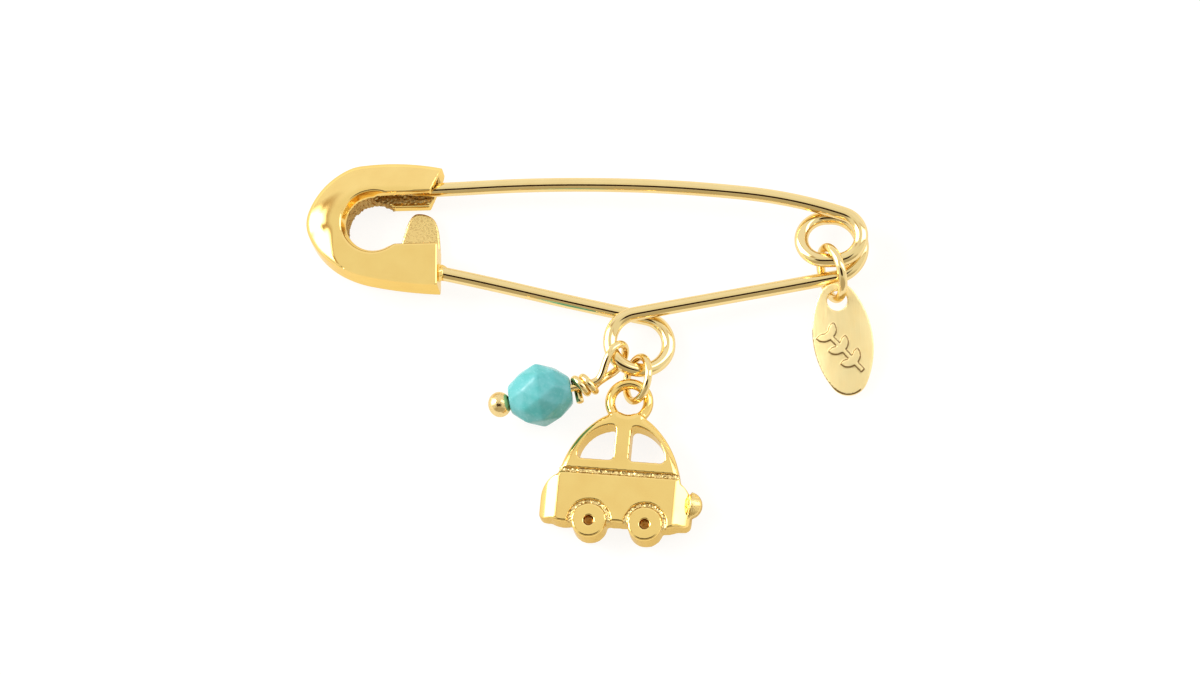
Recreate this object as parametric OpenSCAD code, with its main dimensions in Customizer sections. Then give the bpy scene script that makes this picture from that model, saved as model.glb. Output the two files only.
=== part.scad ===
// A safety pin brooch that lies on its back: a cast clasp cap, one spring wire with a
// middle loop and a coil, and a small car, a bead and a tag that hang on rings.
// Millimetres. X runs along the pin, Y up the pin's face, Z up from the surface.

/* [Pin wire] */
// Diameter of the spring wire
wire_d = 1.1; // [0.9:0.05:1.2]
// Free space between two passes of the wire
pass_gap = 0.08; // [0.06:0.01:0.15]
// Length of the lower wire from the coil to the middle loop
lower_right_l = 16.1; // [14:0.1:19]
// Length of the lower wire from the middle loop to the clasp cap
lower_left_l = 16.7; // [14:0.1:19]
// Fall of the lower wire from the coil to the middle loop, in degrees
lower_right_fall = 10; // [7:0.5:12]
// Rise of the lower wire from the middle loop to the clasp cap, in degrees
lower_left_rise = 13.3; // [10:0.1:16]

/* [Spring coil] */
// Radius of the coil's front turn, at the middle of the wire
coil_r = 1.93; // [1.8:0.01:2]
// Radius of the coil's rear turn, at the middle of the wire
coil_rear_r = 2.46; // [2.3:0.02:2.6]
// Straight stretch that widens the coil
coil_flat = 0.85; // [0.6:0.05:1.5]
// Centre of the coil's front turn along the pin
coil_x = 19.55; // [18:0.05:22]
// Centre of the coil's front turn up the pin's face
coil_y = 8.35; // [8:0.05:9]

/* [Middle loop] */
// Radius of the middle loop, at the middle of the wire
loop_r = 2.25; // [2.1:0.05:2.6]
// Turn of the loop's front stretch before it dips to the rear, in degrees
loop_front_turn = 115; // [105:5:120]

/* [Pin tongue] */
// Slope of the tongue where it leaves the coil, in degrees
tongue_slope = 20; // [17:1:22]
// Radius of the tongue's bend next to the coil
near_bend_r = 40; // [35:1:45]
// Turn of the bend next to the coil, in degrees
near_bend_turn = 12; // [10:1:13]
// Radius of the long gentle bend
far_bend_r = 125; // [110:5:140]
// Turn of the long gentle bend, in degrees
far_bend_turn = 9.5; // [8:0.5:11]
// Straight stretch before the point
tongue_straight = 3.6; // [2:0.1:6]
// Length of the ground point
point_l = 4.6; // [3:0.1:6]
// Diameter of the point's very end
point_d = 0.16; // [0.1:0.02:0.3]
// Gap between the coil's end and the tongue
spring_gap = 0.1; // [0.08:0.01:0.15]

/* [Clasp cap] */
// Thickness of the cap, front to back
cap_t = 3.3; // [3:0.1:4]
// Height of the cap's lower arm
lower_arm_h = 3.5; // [3:0.05:4.5]
// Roof of the cap over the tongue
roof_t = 1.4; // [1:0.1:2]
// Clearance round the tongue in its channel
channel_gap = 0.2; // [0.12:0.02:0.3]
// Depth of the front wall below the tongue's middle line
front_lip = 0.55; // [0.4:0.05:0.8]
// Depth of the back wall below the tongue's middle line
back_lip = 1.2; // [1:0.05:1.8]
// Diameter of the round opening in the cap
cap_hole_d = 4.4; // [3.8:0.1:4.8]
// Widening of the round opening towards the front
cap_hole_flare = 0.35; // [0.1:0.05:0.45]
// Depth over which the round opening widens
cap_flare_h = 0.7; // [0.3:0.1:0.9]
// Distance of the round opening's middle from the cap's lower end face
cap_hole_in = 5.1; // [4.6:0.1:5.6]
// Dip of the round opening into the lower arm
cap_hole_dip = 0.35; // [0.2:0.05:0.6]
// Reach of the upper arm's top past the lower arm's end
arm_reach = 0.5; // [0.2:0.05:0.8]
// Slant of the upper arm's end, from its top to the back wall's lip
arm_slant = 1.4; // [0.8:0.1:1.8]
// Height of the domed edge at the cap's front
cap_dome_h = 1.3; // [0.8:0.05:1.6]
// Width of the domed edge at the cap's front
cap_dome_w = 1.8; // [1:0.1:2.2]
// Rounding of the cap's outer edge at the back
cap_back_round = 0.6; // [0.3:0.05:0.9]
// Height of the guard tab over the lower arm
tab_h = 3.15; // [2.4:0.05:3.3]
// Thickness of the guard tab
tab_t = 0.8; // [0.6:0.05:1]
// Width of the guard tab at its foot
tab_foot_w = 3.3; // [2.8:0.1:3.4]
// Width of the guard tab at its top
tab_top_w = 1.2; // [1:0.1:1.4]
// Slant of the guard tab's inner side
tab_slant = 0.9; // [0.6:0.1:1.2]
// Drop of the guard tab's outer shoulder
tab_shoulder = 0.65; // [0.4:0.05:0.9]
// Depth of the wire's end in the lower arm
wire_seat = 1.2; // [0.8:0.1:2]
// Diameter of the solder bead round the wire's end
solder_d = 1.4; // [1.2:0.05:1.6]
// Drop of the wire's seat below the middle of the lower arm
seat_drop = 0.3; // [0:0.05:0.4]

/* [Rings] */
// Radius of the tag's ring, at the middle of its wire
tag_ring_r = 2.05; // [2:0.05:2.3]
// Wire of the tag's ring
tag_ring_wire = 0.7; // [0.6:0.05:0.75]
// Lean of the tag's ring from the surface, in degrees
tag_ring_lean = 69; // [64:1:74]
// Distance of the tag's ring from the coil's middle, along the pin
tag_ring_shift = 0.4; // [0.4:0.05:0.7]
// Turn of the tag's ring away from the pin's upright, in degrees
tag_ring_turn = 18; // [8:1:20]
// Rise of the tag's ring over the coil's lower pass
tag_ring_rise = 0.18; // [0.1:0.01:0.3]
// Radius of the car's ring, at the middle of its wire
car_ring_r = 1.75; // [1.7:0.05:1.9]
// Wire of the car's ring
car_ring_wire = 0.6; // [0.5:0.05:0.65]
// Lean of the car's ring from the surface, in degrees
car_ring_lean = 56; // [50:1:62]
// Turn of the car's ring away from the pin's upright, in degrees
car_ring_turn = 4; // [0:1:8]
// Drop of the car's ring from the gap between the middle loop and the bail
car_ring_drop = 0.2; // [0.1:0.05:0.3]
// Shift of the car's ring along the pin
car_ring_shift = 0.35; // [0.25:0.05:0.45]

/* [Tag] */
// Length of the oval tag
tag_l = 8.9; // [7:0.1:10]
// Width of the oval tag
tag_w = 4.7; // [4:0.1:5.5]
// Thickness of the tag
tag_t = 0.65; // [0.5:0.05:0.8]
// Diameter of the tag's hole
tag_hole_d = 1.6; // [1.5:0.05:1.8]
// Metal between the tag's hole and its upper end
tag_hole_rim = 0.6; // [0.5:0.05:0.8]
// Tip of the tag up from the surface, in degrees
tag_tip = 10; // [8:0.5:12]
// Drop of the tag's hole from the middle of its ring's wire
tag_hang = 0.12; // [0.1:0.02:0.22]
// Turn of the tag away from the pin's upright, in degrees
tag_turn = 7.5; // [0:0.5:12]
// Height of the raised sprig on the tag
sprig_h = 0.12; // [0.08:0.02:0.2]
// Pairs of leaves on the sprig
sprig_pairs = 3; // [2:1:4]
// Length of the sprig's stem
sprig_l = 4.1; // [3:0.1:5]
// Width of the sprig's stem
sprig_stem_w = 0.33; // [0.2:0.01:0.5]
// Length of a leaf
leaf_l = 1.1; // [0.8:0.1:1.3]
// Turn of the sprig on the tag, in degrees
sprig_turn = 35; // [0:5:60]

/* [Car] */
// Width of the car's body between its ends
car_w = 11.9; // [11:0.1:13]
// Height of the car's body up to the belt
car_body_h = 3.75; // [3.2:0.05:4.4]
// Height of the car's roof over the belt
car_roof_h = 5.2; // [4.8:0.1:5.6]
// Shift of the body towards the clasp cap, from the middle of its wheels
body_shift = 0.28; // [0.1:0.02:0.4]
// Shift of the roof towards the clasp cap
roof_shift = 0.15; // [0:0.05:0.3]
// Radius of the roof's round top
roof_top_r = 3.4; // [3:0.1:3.8]
// Radius of the roof's sides
roof_side_r = 7.5; // [7:0.1:8.5]
// Turn from the roof's top to its sides, in degrees
roof_split = 40; // [35:1:45]
// Radius of the body's shoulders
shoulder_r = 2; // [1.6:0.1:2.6]
// Radius of the body's lower corners
foot_r = 0.6; // [0.3:0.1:0.8]
// Radius of the round at the front of the body's ends
end_r = 1.5; // [0.8:0.1:1.7]
// Thickness of the car
car_t = 2.2; // [1.9:0.1:2.5]
// Distance between the wheels' centres
wheel_base = 4.38; // [4:0.02:4.8]
// Diameter of a wheel
wheel_d = 2.7; // [2.4:0.05:3]
// Diameter of the hole in a wheel's middle
hub_d = 0.8; // [0.6:0.05:1]
// Width of the groove round a wheel
arch_groove_w = 0.36; // [0.25:0.01:0.45]
// Width of the groove at the belt
belt_groove_w = 0.4; // [0.3:0.05:0.5]
// Depth of the grooves
groove_depth = 0.25; // [0.15:0.05:0.4]
// Radius of the windows
window_r = 2.85; // [2.6:0.05:3.2]
// Radius of the windows' corners
window_corner = 0.35; // [0.2:0.05:0.5]
// Width of the post between the windows
window_post = 1.2; // [0.7:0.05:1.4]
// Height of the windows' sill over the belt
window_sill = 1.2; // [0.7:0.05:1.4]
// Outer diameter of the bail ring
bail_d = 3.8; // [3.5:0.05:4]
// Hole of the bail ring
bail_hole_d = 2.2; // [2.1:0.05:2.3]
// Thickness of the bail ring
bail_t = 1; // [0.9:0.05:1.1]
// Height of the bail ring's back over the surface
bail_lift = 0.8; // [0.75:0.05:0.9]
// Diameter of the lamp bump
lamp_d = 2.2; // [1.6:0.1:2.2]
// Height of the lamp's middle over the body's lower edge
lamp_y = 2; // [1.5:0.05:2.2]
// Depth of the lamp's middle in the body's end
lamp_in = 0.3; // [0.1:0.05:0.6]
// Depth of the lamp's flat back in the body's end
lamp_seat = 0.15; // [0.1:0.05:0.3]
// Gap between the bail and the middle loop
bail_gap = 0.15; // [0.1:0.05:0.3]
// Swing of the bail from under the loop's middle, in degrees
bail_swing = 9.3; // [6:0.1:12]
// Turn of the car, in degrees
car_turn = -5.5; // [-7:0.5:0]

/* [Bead] */
// Diameter of the bead over its corners
bead_d = 5.1; // [4.8:0.1:5.6]
// Length of the bead along its hole
bead_l = 4.9; // [4.4:0.1:5.2]
// Facets round the bead's waist
bead_facets = 8; // [7:1:10]
// Diameter of the bead's hole
bead_hole_d = 1; // [0.8:0.05:1.2]
// Wire of the bead's pin
bead_wire = 0.6; // [0.5:0.05:0.7]
// Diameter of the ball at the pin's end
ball_d = 2; // [1.6:0.1:2.4]
// Slope of the bead's pin up to the right, in degrees
bead_slope = 12; // [6:0.5:14]
// Turns of wire wrapped above the bead
wraps = 2; // [2:1:3]
// Gap between two turns of the wrapped wire
wrap_gap = 0.03; // [0.02:0.01:0.08]
// Length of the wrapped wire's cut tail
tail_l = 1.2; // [0.8:0.1:1.6]
// Length of the eye over its wire
eye_l = 3.6; // [3.4:0.1:4]
// Slack of the eye's tip inside the middle loop
eye_slack = 0.2; // [0.15:0.05:0.4]
// Distance between the eye's two strands, at the middle of the wire
eye_w = 2.15; // [2.05:0.05:2.3]
// Direction of the eye, in degrees from the pin's length
eye_heading = 58; // [54:1:62]
// Lean of the eye from the surface, in degrees
eye_lean = 70; // [66:1:74]
// Place where the eye's tip sits on the middle loop, in degrees under its left side
eye_meet = 15; // [10:1:20]

/* [Hidden] */
$fn = 48;
gold = "#EBCB78";
turquoise = "#6FB8B3";
over = 1;
wire_sides = 14;
link_sides = 8;
leaf_turn = 50;
loop_dip_turn = 150;

wire_r = wire_d / 2;
pass_step = wire_d + pass_gap;

// Heights of the wire's middle line: it lies on the tag's ring at the coil, and on the
// car's ring at the middle loop.
coil_rear_z = tag_ring_wire + wire_r + pass_gap;
coil_front_z = coil_rear_z + pass_step;
loop_rear_z = wire_r + 0.25 * car_ring_wire;
loop_front_z = loop_rear_z + pass_step;
cap_z = cap_t / 2;

// Plan of the wire, from the tongue's end of the coil to the clasp cap.
function ahead(p, heading, l) = p + l * [cos(heading), sin(heading)];
function turned(p, heading, r, turn) =
    p + r * [sin(heading + turn) - sin(heading), cos(heading) - cos(heading + turn)];
tongue_heading = 180 - tongue_slope;
tongue_start = [coil_x, coil_y] + coil_r * [sin(tongue_slope), cos(tongue_slope)];
rear_x = coil_x + coil_r - coil_rear_r;
rear_y = coil_y + coil_r - coil_rear_r;
lower_heading = 180 + lower_right_fall;
lower_start = [rear_x, rear_y] + coil_rear_r * [sin(lower_right_fall), -cos(lower_right_fall)];
loop_start = ahead(lower_start, lower_heading, lower_right_l);
loop_c = loop_start + loop_r * [sin(lower_right_fall), -cos(lower_right_fall)];
loop_turn = 360 - lower_right_fall - lower_left_rise;
left_heading = 180 - lower_left_rise;
loop_end = loop_c + loop_r * [sin(lower_left_rise), cos(lower_left_rise)];
lower_end = ahead(loop_end, left_heading, lower_left_l);

// Plan of the tongue.
near_end = turned(tongue_start, tongue_heading, near_bend_r, near_bend_turn);
far_heading = tongue_heading + near_bend_turn;
far_end = turned(near_end, far_heading, far_bend_r, far_bend_turn);
tip_heading = far_heading + far_bend_turn;
tip_end = ahead(far_end, tip_heading, tongue_straight + point_l);
channel_c = ahead(far_end, tip_heading, tongue_straight);

// Outline of the cap: arcs from the lower arm's end round to the upper arm's end.
// Columns: turn in degrees, radius as a share of the cap's height.
CAP_ARCS = [
    [9.4, 3.3],
    [16.6, 0.80],
    [38, 0.59],
    [42, 0.26],
    [46, 0.59],
    [18, 0.31],
    [10, 1.9],
    [11, 1.9],
];
CAP_FIRST_HEADING = 176.5;
function arc_heading(n) = n == 0 ? CAP_FIRST_HEADING : arc_heading(n - 1) - CAP_ARCS[n - 1][0];
function arc_start(n, k) =
    n == 0 ? [0, 0]
    : let (arc = CAP_ARCS[n - 1])
      turned(arc_start(n - 1, k), arc_heading(n - 1), -k * arc[1], -arc[0]);
function arc_centre(n, k) =
    arc_start(n, k) + k * CAP_ARCS[n][1] * [sin(arc_heading(n)), -cos(arc_heading(n))];
top_arc = len(CAP_ARCS) - 1;
unit_top = arc_centre(top_arc, 1)[1] + CAP_ARCS[top_arc][1];

cap_bottom_y = lower_end[1] + seat_drop - lower_arm_h / 2;
cap_top_y = channel_c[1] + wire_r + channel_gap / 2 + roof_t;
cap_k = (cap_top_y - cap_bottom_y) / unit_top;
cap_end_x = lower_end[0];
rim_y = cap_bottom_y + lower_arm_h;
hole_c = [cap_end_x - cap_hole_in, rim_y - cap_hole_dip + cap_hole_d / 2];
lip_y = channel_c[1] - back_lip;
channel_z0 = cap_z - wire_r - channel_gap;
channel_z1 = cap_z + wire_r + channel_gap;

// Points along a bend or a straight stretch, in even steps and without the first one.
// The height eases from one end to the other.
function eased(t) = t * t * (3 - 2 * t);
function along_bend(c, r, from, to, z0, z1, steps) = [
    for (i = [1:steps])
        let (t = i / steps, a = from + (to - from) * t)
        [c[0] + r * cos(a), c[1] + r * sin(a), z0 + (z1 - z0) * eased(t)]
];
function along_line(p, q, z0, z1, steps) = [
    for (i = [1:steps])
        let (t = i / steps, s = p + (q - p) * t)
        [s[0], s[1], z0 + (z1 - z0) * eased(t)]
];

// The whole fixed wire, from the coil's front end to its seat in the clasp cap.
coil_left = [coil_x - coil_flat, coil_y];
loop_first = 90 + lower_right_fall;
loop_dip = loop_first + loop_front_turn;
fixed_wire = concat(
    [[tongue_start[0], tongue_start[1], coil_front_z]],
    along_bend([coil_x, coil_y], coil_r, 90 - tongue_slope, -90, coil_front_z, coil_front_z, 14),
    along_line([coil_x, coil_y - coil_r], coil_left - [0, coil_r], coil_front_z, coil_front_z, 1),
    along_bend(coil_left, coil_r, 270, 90, coil_front_z, coil_rear_z, 16),
    along_line(coil_left + [0, coil_r], [rear_x, coil_y + coil_r], coil_rear_z, coil_rear_z, 1),
    along_bend([rear_x, rear_y], coil_rear_r, 90, lower_right_fall - 90, coil_rear_z, coil_rear_z, 16),
    along_line(lower_start, loop_start, coil_rear_z, loop_front_z, 8),
    along_bend(loop_c, loop_r, loop_first, loop_dip, loop_front_z, loop_front_z, 10),
    along_bend(loop_c, loop_r, loop_dip, loop_dip + loop_dip_turn, loop_front_z, loop_rear_z, 14),
    along_bend(loop_c, loop_r, loop_dip + loop_dip_turn, loop_first + loop_turn, loop_rear_z, loop_rear_z, 6),
    along_line(loop_end, lower_end, loop_rear_z, cap_z, 8),
    along_line(lower_end, ahead(lower_end, left_heading, wire_seat), cap_z, cap_z, 1)
);

// The tongue's wire, from the coil to its point.
tongue_first = ahead(tongue_start, tongue_heading, spring_gap);
tongue_plan = concat(
    [[tongue_first[0], tongue_first[1], 0]],
    [
        for (i = [1:5])
            let (p = turned(tongue_start, tongue_heading, near_bend_r, near_bend_turn * i / 5))
            [p[0], p[1], 0]
    ],
    [
        for (i = [1:6])
            let (p = turned(near_end, far_heading, far_bend_r, far_bend_turn * i / 6))
            [p[0], p[1], 0]
    ],
    [[channel_c[0], channel_c[1], 0], [tip_end[0], tip_end[1], 0]]
);
tongue_reach = tongue_first[0] - channel_c[0];
tongue_wire = [
    for (p = tongue_plan)
        let (t = min(1, (tongue_first[0] - p[0]) / tongue_reach))
        [p[0], p[1], coil_front_z + (cap_z - coil_front_z) * eased(t)]
];

// A wire swept along a path. The side vector is carried along, so the wire never twists.
function unit(v) = v / norm(v);
function step_of(path, i) = unit(path[i + 1] - path[i]);
function heading_at(path, i) =
    i == 0 ? step_of(path, 0)
    : i >= len(path) - 1 ? step_of(path, len(path) - 2)
    : unit(step_of(path, i - 1) + step_of(path, i));
function carried(side, heading) = unit(side - (side * heading) * heading);
function side_vectors(path, first) = [
    for (
        i = 0, s = carried(first, heading_at(path, 0));
        i < len(path);
        i = i + 1, s = carried(s, heading_at(path, i))
    ) s
];

module swept_wire(path, radii, sides, first) {
    side_v = side_vectors(path, first);
    last = len(path) - 1;
    points = [
        for (i = [0:last])
            let (up_v = cross(heading_at(path, i), side_v[i]))
            for (k = [0:sides - 1])
                path[i] + radii[i] * (cos(360 * k / sides) * side_v[i] + sin(360 * k / sides) * up_v)
    ];
    faces = concat(
        [[for (k = [0:sides - 1]) k]],
        [
            for (i = [0:last - 1], k = [0:sides - 1])
                let (a = i * sides + k, b = i * sides + (k + 1) % sides)
                [a, a + sides, b]
        ],
        [
            for (i = [0:last - 1], k = [0:sides - 1])
                let (a = i * sides + k, b = i * sides + (k + 1) % sides)
                [b, a + sides, b + sides]
        ],
        [[for (k = [0:sides - 1]) last * sides + sides - 1 - k]]
    );
    polyhedron(points = points, faces = faces);
}

module at(p, z, heading) {
    translate([p[0], p[1], z])
        rotate([0, 0, heading])
            children();
}

module lower_wire() {
    swept_wire(fixed_wire, [for (p = fixed_wire) wire_r], wire_sides, [0, 0, 1]);
    translate([lower_end[0], lower_end[1], cap_z])
        sphere(d = solder_d);
}

// Outline of the cap, drawn in by inset.
function arc_point(n, share, inset) =
    let (heading = arc_heading(n) - share * CAP_ARCS[n][0])
    arc_centre(n, cap_k) + (cap_k * CAP_ARCS[n][1] - inset) * [-sin(heading), cos(heading)];
function arc_steps(n) = max(2, round(CAP_ARCS[n][0] / 6));
function outline(inset) = concat(
    [
        for (n = [0:top_arc], i = [0:arc_steps(n) - 1])
            arc_point(n, i / arc_steps(n), inset)
    ],
    [arc_point(top_arc, 1, inset)]
);

// Rounded edge of the cap, from the back to the front. Columns: height, inset.
edge_rows = concat(
    [
        for (a = [0:30:90])
            [cap_back_round * (1 - cos(a)), cap_back_round * (1 - sin(a))]
    ],
    [
        for (a = [0:15:90])
            [cap_t - cap_dome_h * (1 - sin(a)), cap_dome_w * (1 - cos(a))]
    ]
);

// The cap's solid form, with its edges rounded.
module cap_blank() {
    rings = [for (row = edge_rows) outline(row[1])];
    count = len(rings[0]);
    last = len(rings) - 1;
    points = [
        for (i = [0:last], p = rings[i])
            [cap_end_x + p[0], cap_bottom_y + p[1], edge_rows[i][0]]
    ];
    faces = concat(
        [[for (j = [count - 1:-1:0]) j]],
        [
            for (i = [0:last - 1], j = [0:count - 1])
                let (a = i * count + j, b = i * count + (j + 1) % count)
                [a, b, b + count]
        ],
        [
            for (i = [0:last - 1], j = [0:count - 1])
                let (a = i * count + j, b = i * count + (j + 1) % count)
                [a, b + count, a + count]
        ],
        [[for (j = [0:count - 1]) last * count + j]]
    );
    polyhedron(points = points, faces = faces);
}

// The guard tab, drawn from the end of the lower arm.
module tab_shape() {
    top_x = tab_slant - tab_foot_w;
    polygon([
        [-tab_foot_w, -over],
        [-tab_foot_w, 0],
        [top_x, tab_h],
        [top_x + tab_top_w, tab_h],
        [-tab_slant / 4, tab_h - tab_shoulder],
        [0, 0],
        [0, -over],
    ]);
}

// The gap between the arms, with the guard tab left standing at its back.
module arm_gap() {
    gap_w = cap_hole_in + 4 * over;
    difference() {
        translate([hole_c[0], rim_y, -over])
            cube([gap_w, lip_y - rim_y, cap_t + 2 * over]);
        translate([cap_end_x, rim_y, 0])
            linear_extrude(height = tab_t)
                tab_shape();
    }
    translate([cap_end_x, cap_bottom_y - over, -over])
        cube([gap_w, rim_y - cap_bottom_y + over, cap_t + 2 * over]);
}

// The slanted end of the upper arm.
module arm_end() {
    top_x = cap_end_x + arm_reach;
    translate([0, 0, -over])
        linear_extrude(height = cap_t + 2 * over)
            polygon([
                [top_x - arm_slant, lip_y - channel_gap],
                [top_x + 4 * over, lip_y - channel_gap],
                [top_x + 4 * over, cap_top_y + over],
                [top_x, cap_top_y + over],
                [top_x, cap_top_y],
            ]);
}

// The tongue's channel, open to the gap between the arms.
module channel() {
    mouth = norm(tip_end - channel_c);
    reach = mouth + channel_gap;
    way_out = tongue_straight + 4 * over;
    deep = back_lip + over;
    at(channel_c, channel_z0, tip_heading - 180) {
        translate([-reach, -deep, 0])
            cube([reach + way_out, deep + wire_r + channel_gap / 2, channel_z1 - channel_z0]);
        translate([-mouth, -deep, 0])
            cube([mouth + way_out, deep - front_lip, cap_t]);
    }
}

module clasp_cap() {
    difference() {
        cap_blank();
        translate([hole_c[0], hole_c[1], -over])
            cylinder(h = cap_t + 2 * over, d = cap_hole_d);
        translate([hole_c[0], hole_c[1], cap_t - cap_flare_h])
            cylinder(h = 2 * cap_flare_h, d1 = cap_hole_d, d2 = cap_hole_d + 4 * cap_hole_flare);
        arm_gap();
        arm_end();
        channel();
    }
}

module pin_frame() {
    color(gold) {
        lower_wire();
        clasp_cap();
    }
}

module pin_tongue() {
    last = len(tongue_wire) - 1;
    radii = [for (i = [0:last]) i == last ? point_d / 2 : wire_r];
    color(gold)
        swept_wire(tongue_wire, radii, wire_sides, [0, 0, 1]);
}

module ring(r, d) {
    rotate_extrude()
        translate([r, 0])
            circle(d = d);
}

// The tag's ring holds both lower passes of the coil, and leans over them.
tag_ring_c = [
    coil_x - tag_ring_shift,
    coil_y - coil_r + wire_r + tag_ring_wire / 2 + tag_ring_rise - tag_ring_r,
    tag_ring_r * sin(tag_ring_lean) + tag_ring_wire / 2,
];

module tag_ring() {
    color(gold)
        translate(tag_ring_c)
            rotate([0, 0, tag_ring_turn])
                rotate([0, -tag_ring_lean, 0])
                    ring(tag_ring_r, tag_ring_wire);
}

// Oval of the tag: two long arcs and two round ends.
module tag_oval() {
    end_r = 0.33 * tag_w;
    side_r = (tag_l * tag_l / 4 + tag_w * tag_w / 4 - tag_l * end_r) / (tag_w - 2 * end_r);
    end_y = tag_l / 2 - end_r;
    lean = atan(end_y / (side_r - tag_w / 2));
    for (side = [-1, 1])
        translate([0, side * end_y])
            circle(r = end_r);
    intersection() {
        translate([side_r - tag_w / 2, 0])
            circle(r = side_r, $fn = 4 * $fn);
        translate([tag_w / 2 - side_r, 0])
            circle(r = side_r, $fn = 4 * $fn);
        square([tag_w, 2 * side_r * sin(lean)], center = true);
    }
}

// A plain raised sprig: a stem with pairs of pointed leaves.
module sprig() {
    leaf_r = 0.72 * leaf_l;
    translate([-sprig_stem_w / 2, -sprig_l / 2])
        square([sprig_stem_w, sprig_l]);
    for (n = [1:sprig_pairs], side = [-1, 1])
        translate([0, sprig_l * ((n - 0.4) / sprig_pairs - 0.5)])
            rotate([0, 0, -side * leaf_turn])
                translate([0, leaf_l / 2])
                    intersection_for (bow = [-1, 1])
                        translate([bow * 0.62 * leaf_r, 0])
                            circle(r = leaf_r);
}

// The tag stands on its lower end and leans on its ring, which runs through its hole.
tag_up = tag_l - tag_hole_rim - tag_hole_d / 2;
tag_hole_z = tag_up * sin(tag_tip);
ring_low = (tag_hole_z + tag_t / 2 - tag_ring_c[2]) / (tag_ring_r * sin(tag_ring_lean));
ring_x = tag_ring_r * ring_low * cos(tag_ring_lean);
ring_y = -tag_ring_r * sqrt(1 - ring_low * ring_low);
tag_hole_c = [
    tag_ring_c[0] + ring_x * cos(tag_ring_turn) - ring_y * sin(tag_ring_turn),
    tag_ring_c[1] + ring_x * sin(tag_ring_turn) + ring_y * cos(tag_ring_turn) - tag_hang,
];

module tag() {
    color(gold)
        translate([tag_hole_c[0], tag_hole_c[1], tag_hole_z])
            rotate([0, 0, tag_turn])
                rotate([tag_tip, 0, 0])
                    translate([0, tag_l / 2 - tag_up, 0]) {
                        difference() {
                            linear_extrude(height = tag_t)
                                tag_oval();
                            translate([0, tag_up - tag_l / 2, -over])
                                cylinder(h = tag_t + 2 * over, d = tag_hole_d);
                        }
                        translate([0, -tag_hole_rim - tag_hole_d / 4, tag_t / 2])
                            rotate([0, 0, sprig_turn])
                                linear_extrude(height = tag_t / 2 + sprig_h)
                                    sprig();
                    }
}

// The bail hangs just under the middle loop, and the car's ring joins the two.
bail_dir = [-sin(bail_swing), -cos(bail_swing)];
bail_c = loop_c + (loop_r + wire_r + bail_gap + bail_d / 2) * bail_dir;
ring_seat = loop_c + (loop_r + wire_r + bail_gap / 2) * bail_dir;
car_ring_c = [
    ring_seat[0] + car_ring_shift,
    ring_seat[1] - car_ring_drop,
    car_ring_r * sin(car_ring_lean) + car_ring_wire / 2,
];

module car_ring() {
    color(gold)
        translate(car_ring_c)
            rotate([0, 0, -car_ring_turn])
                rotate([0, -car_ring_lean, 0])
                    ring(car_ring_r, car_ring_wire);
}

// Outline of the roof: a round top and two longer sides.
module roof_shape() {
    top_y = car_body_h + car_roof_h - roof_top_r;
    far = roof_side_r - roof_top_r;
    side_c = [far * sin(roof_split), top_y - far * cos(roof_split)];
    split_y = top_y + roof_top_r * cos(roof_split);
    intersection() {
        translate([-side_c[0], side_c[1]])
            circle(r = roof_side_r, $fn = 2 * $fn);
        translate([side_c[0], side_c[1]])
            circle(r = roof_side_r, $fn = 2 * $fn);
        translate([-car_w / 2, car_body_h / 2])
            square([car_w, split_y - car_body_h / 2]);
    }
    intersection() {
        translate([0, top_y])
            circle(r = roof_top_r);
        translate([-car_w / 2, split_y])
            square([car_w, roof_top_r]);
    }
}

// Outline of the body under the belt, with round shoulders and softer lower corners.
module body_shape() {
    for (side = [-1, 1]) {
        translate([side * (car_w / 2 - shoulder_r), car_body_h - shoulder_r])
            circle(r = shoulder_r);
        translate([side * (car_w / 2 - foot_r), foot_r])
            circle(r = foot_r);
    }
    translate([-car_w / 2, foot_r])
        square([car_w, car_body_h - shoulder_r - foot_r]);
    translate([-car_w / 2 + foot_r, 0])
        square([car_w - 2 * foot_r, foot_r]);
    translate([-car_w / 2 + shoulder_r, 0])
        square([car_w - 2 * shoulder_r, car_body_h]);
}

// A slab whose two ends are rounded at the front.
module rounded_ends() {
    translate([0, car_body_h + over, 0])
        rotate([90, 0, 0])
            linear_extrude(height = car_body_h + 2 * over) {
                translate([-car_w / 2, 0])
                    square([car_w, car_t - end_r]);
                translate([end_r - car_w / 2, 0])
                    square([car_w - 2 * end_r, car_t]);
                for (side = [-1, 1])
                    translate([side * (car_w / 2 - end_r), car_t - end_r])
                        circle(r = end_r);
            }
}

// The body with its lamp, a round bump that is flat where it meets the body's end.
module car_body() {
    intersection() {
        linear_extrude(height = car_t)
            body_shape();
        rounded_ends();
    }
    intersection() {
        translate([car_w / 2 - lamp_in, lamp_y, car_t / 2])
            rotate([0, 0, 180])
                sphere(d = lamp_d);
        translate([car_w / 2 - lamp_seat, 0, 0])
            cube([lamp_d, 2 * lamp_y, car_t]);
    }
}

// A quarter disc with rounded corners, from its inner corner out.
function arc_points(c, r, from, to, steps) = [
    for (i = [0:steps])
        let (a = from + (to - from) * i / steps)
        c + r * [cos(a), sin(a)]
];
module window_shape(r, corner) {
    reach = sqrt((r - corner) * (r - corner) - corner * corner);
    meet = atan(corner / reach);
    polygon(concat(
        arc_points([corner, corner], corner, 180, 270, 4),
        arc_points([reach, corner], corner, 270, 360 + meet, 6),
        arc_points([0, 0], r, meet, 90 - meet, 14),
        arc_points([corner, reach], corner, 90 - meet, 180, 6)
    ));
}

module car_windows() {
    for (side = [0, 1])
        mirror([side, 0, 0])
            translate([window_post / 2, car_body_h + window_sill, -over])
                linear_extrude(height = car_t + 2 * over)
                    window_shape(window_r, window_corner);
}

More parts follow.
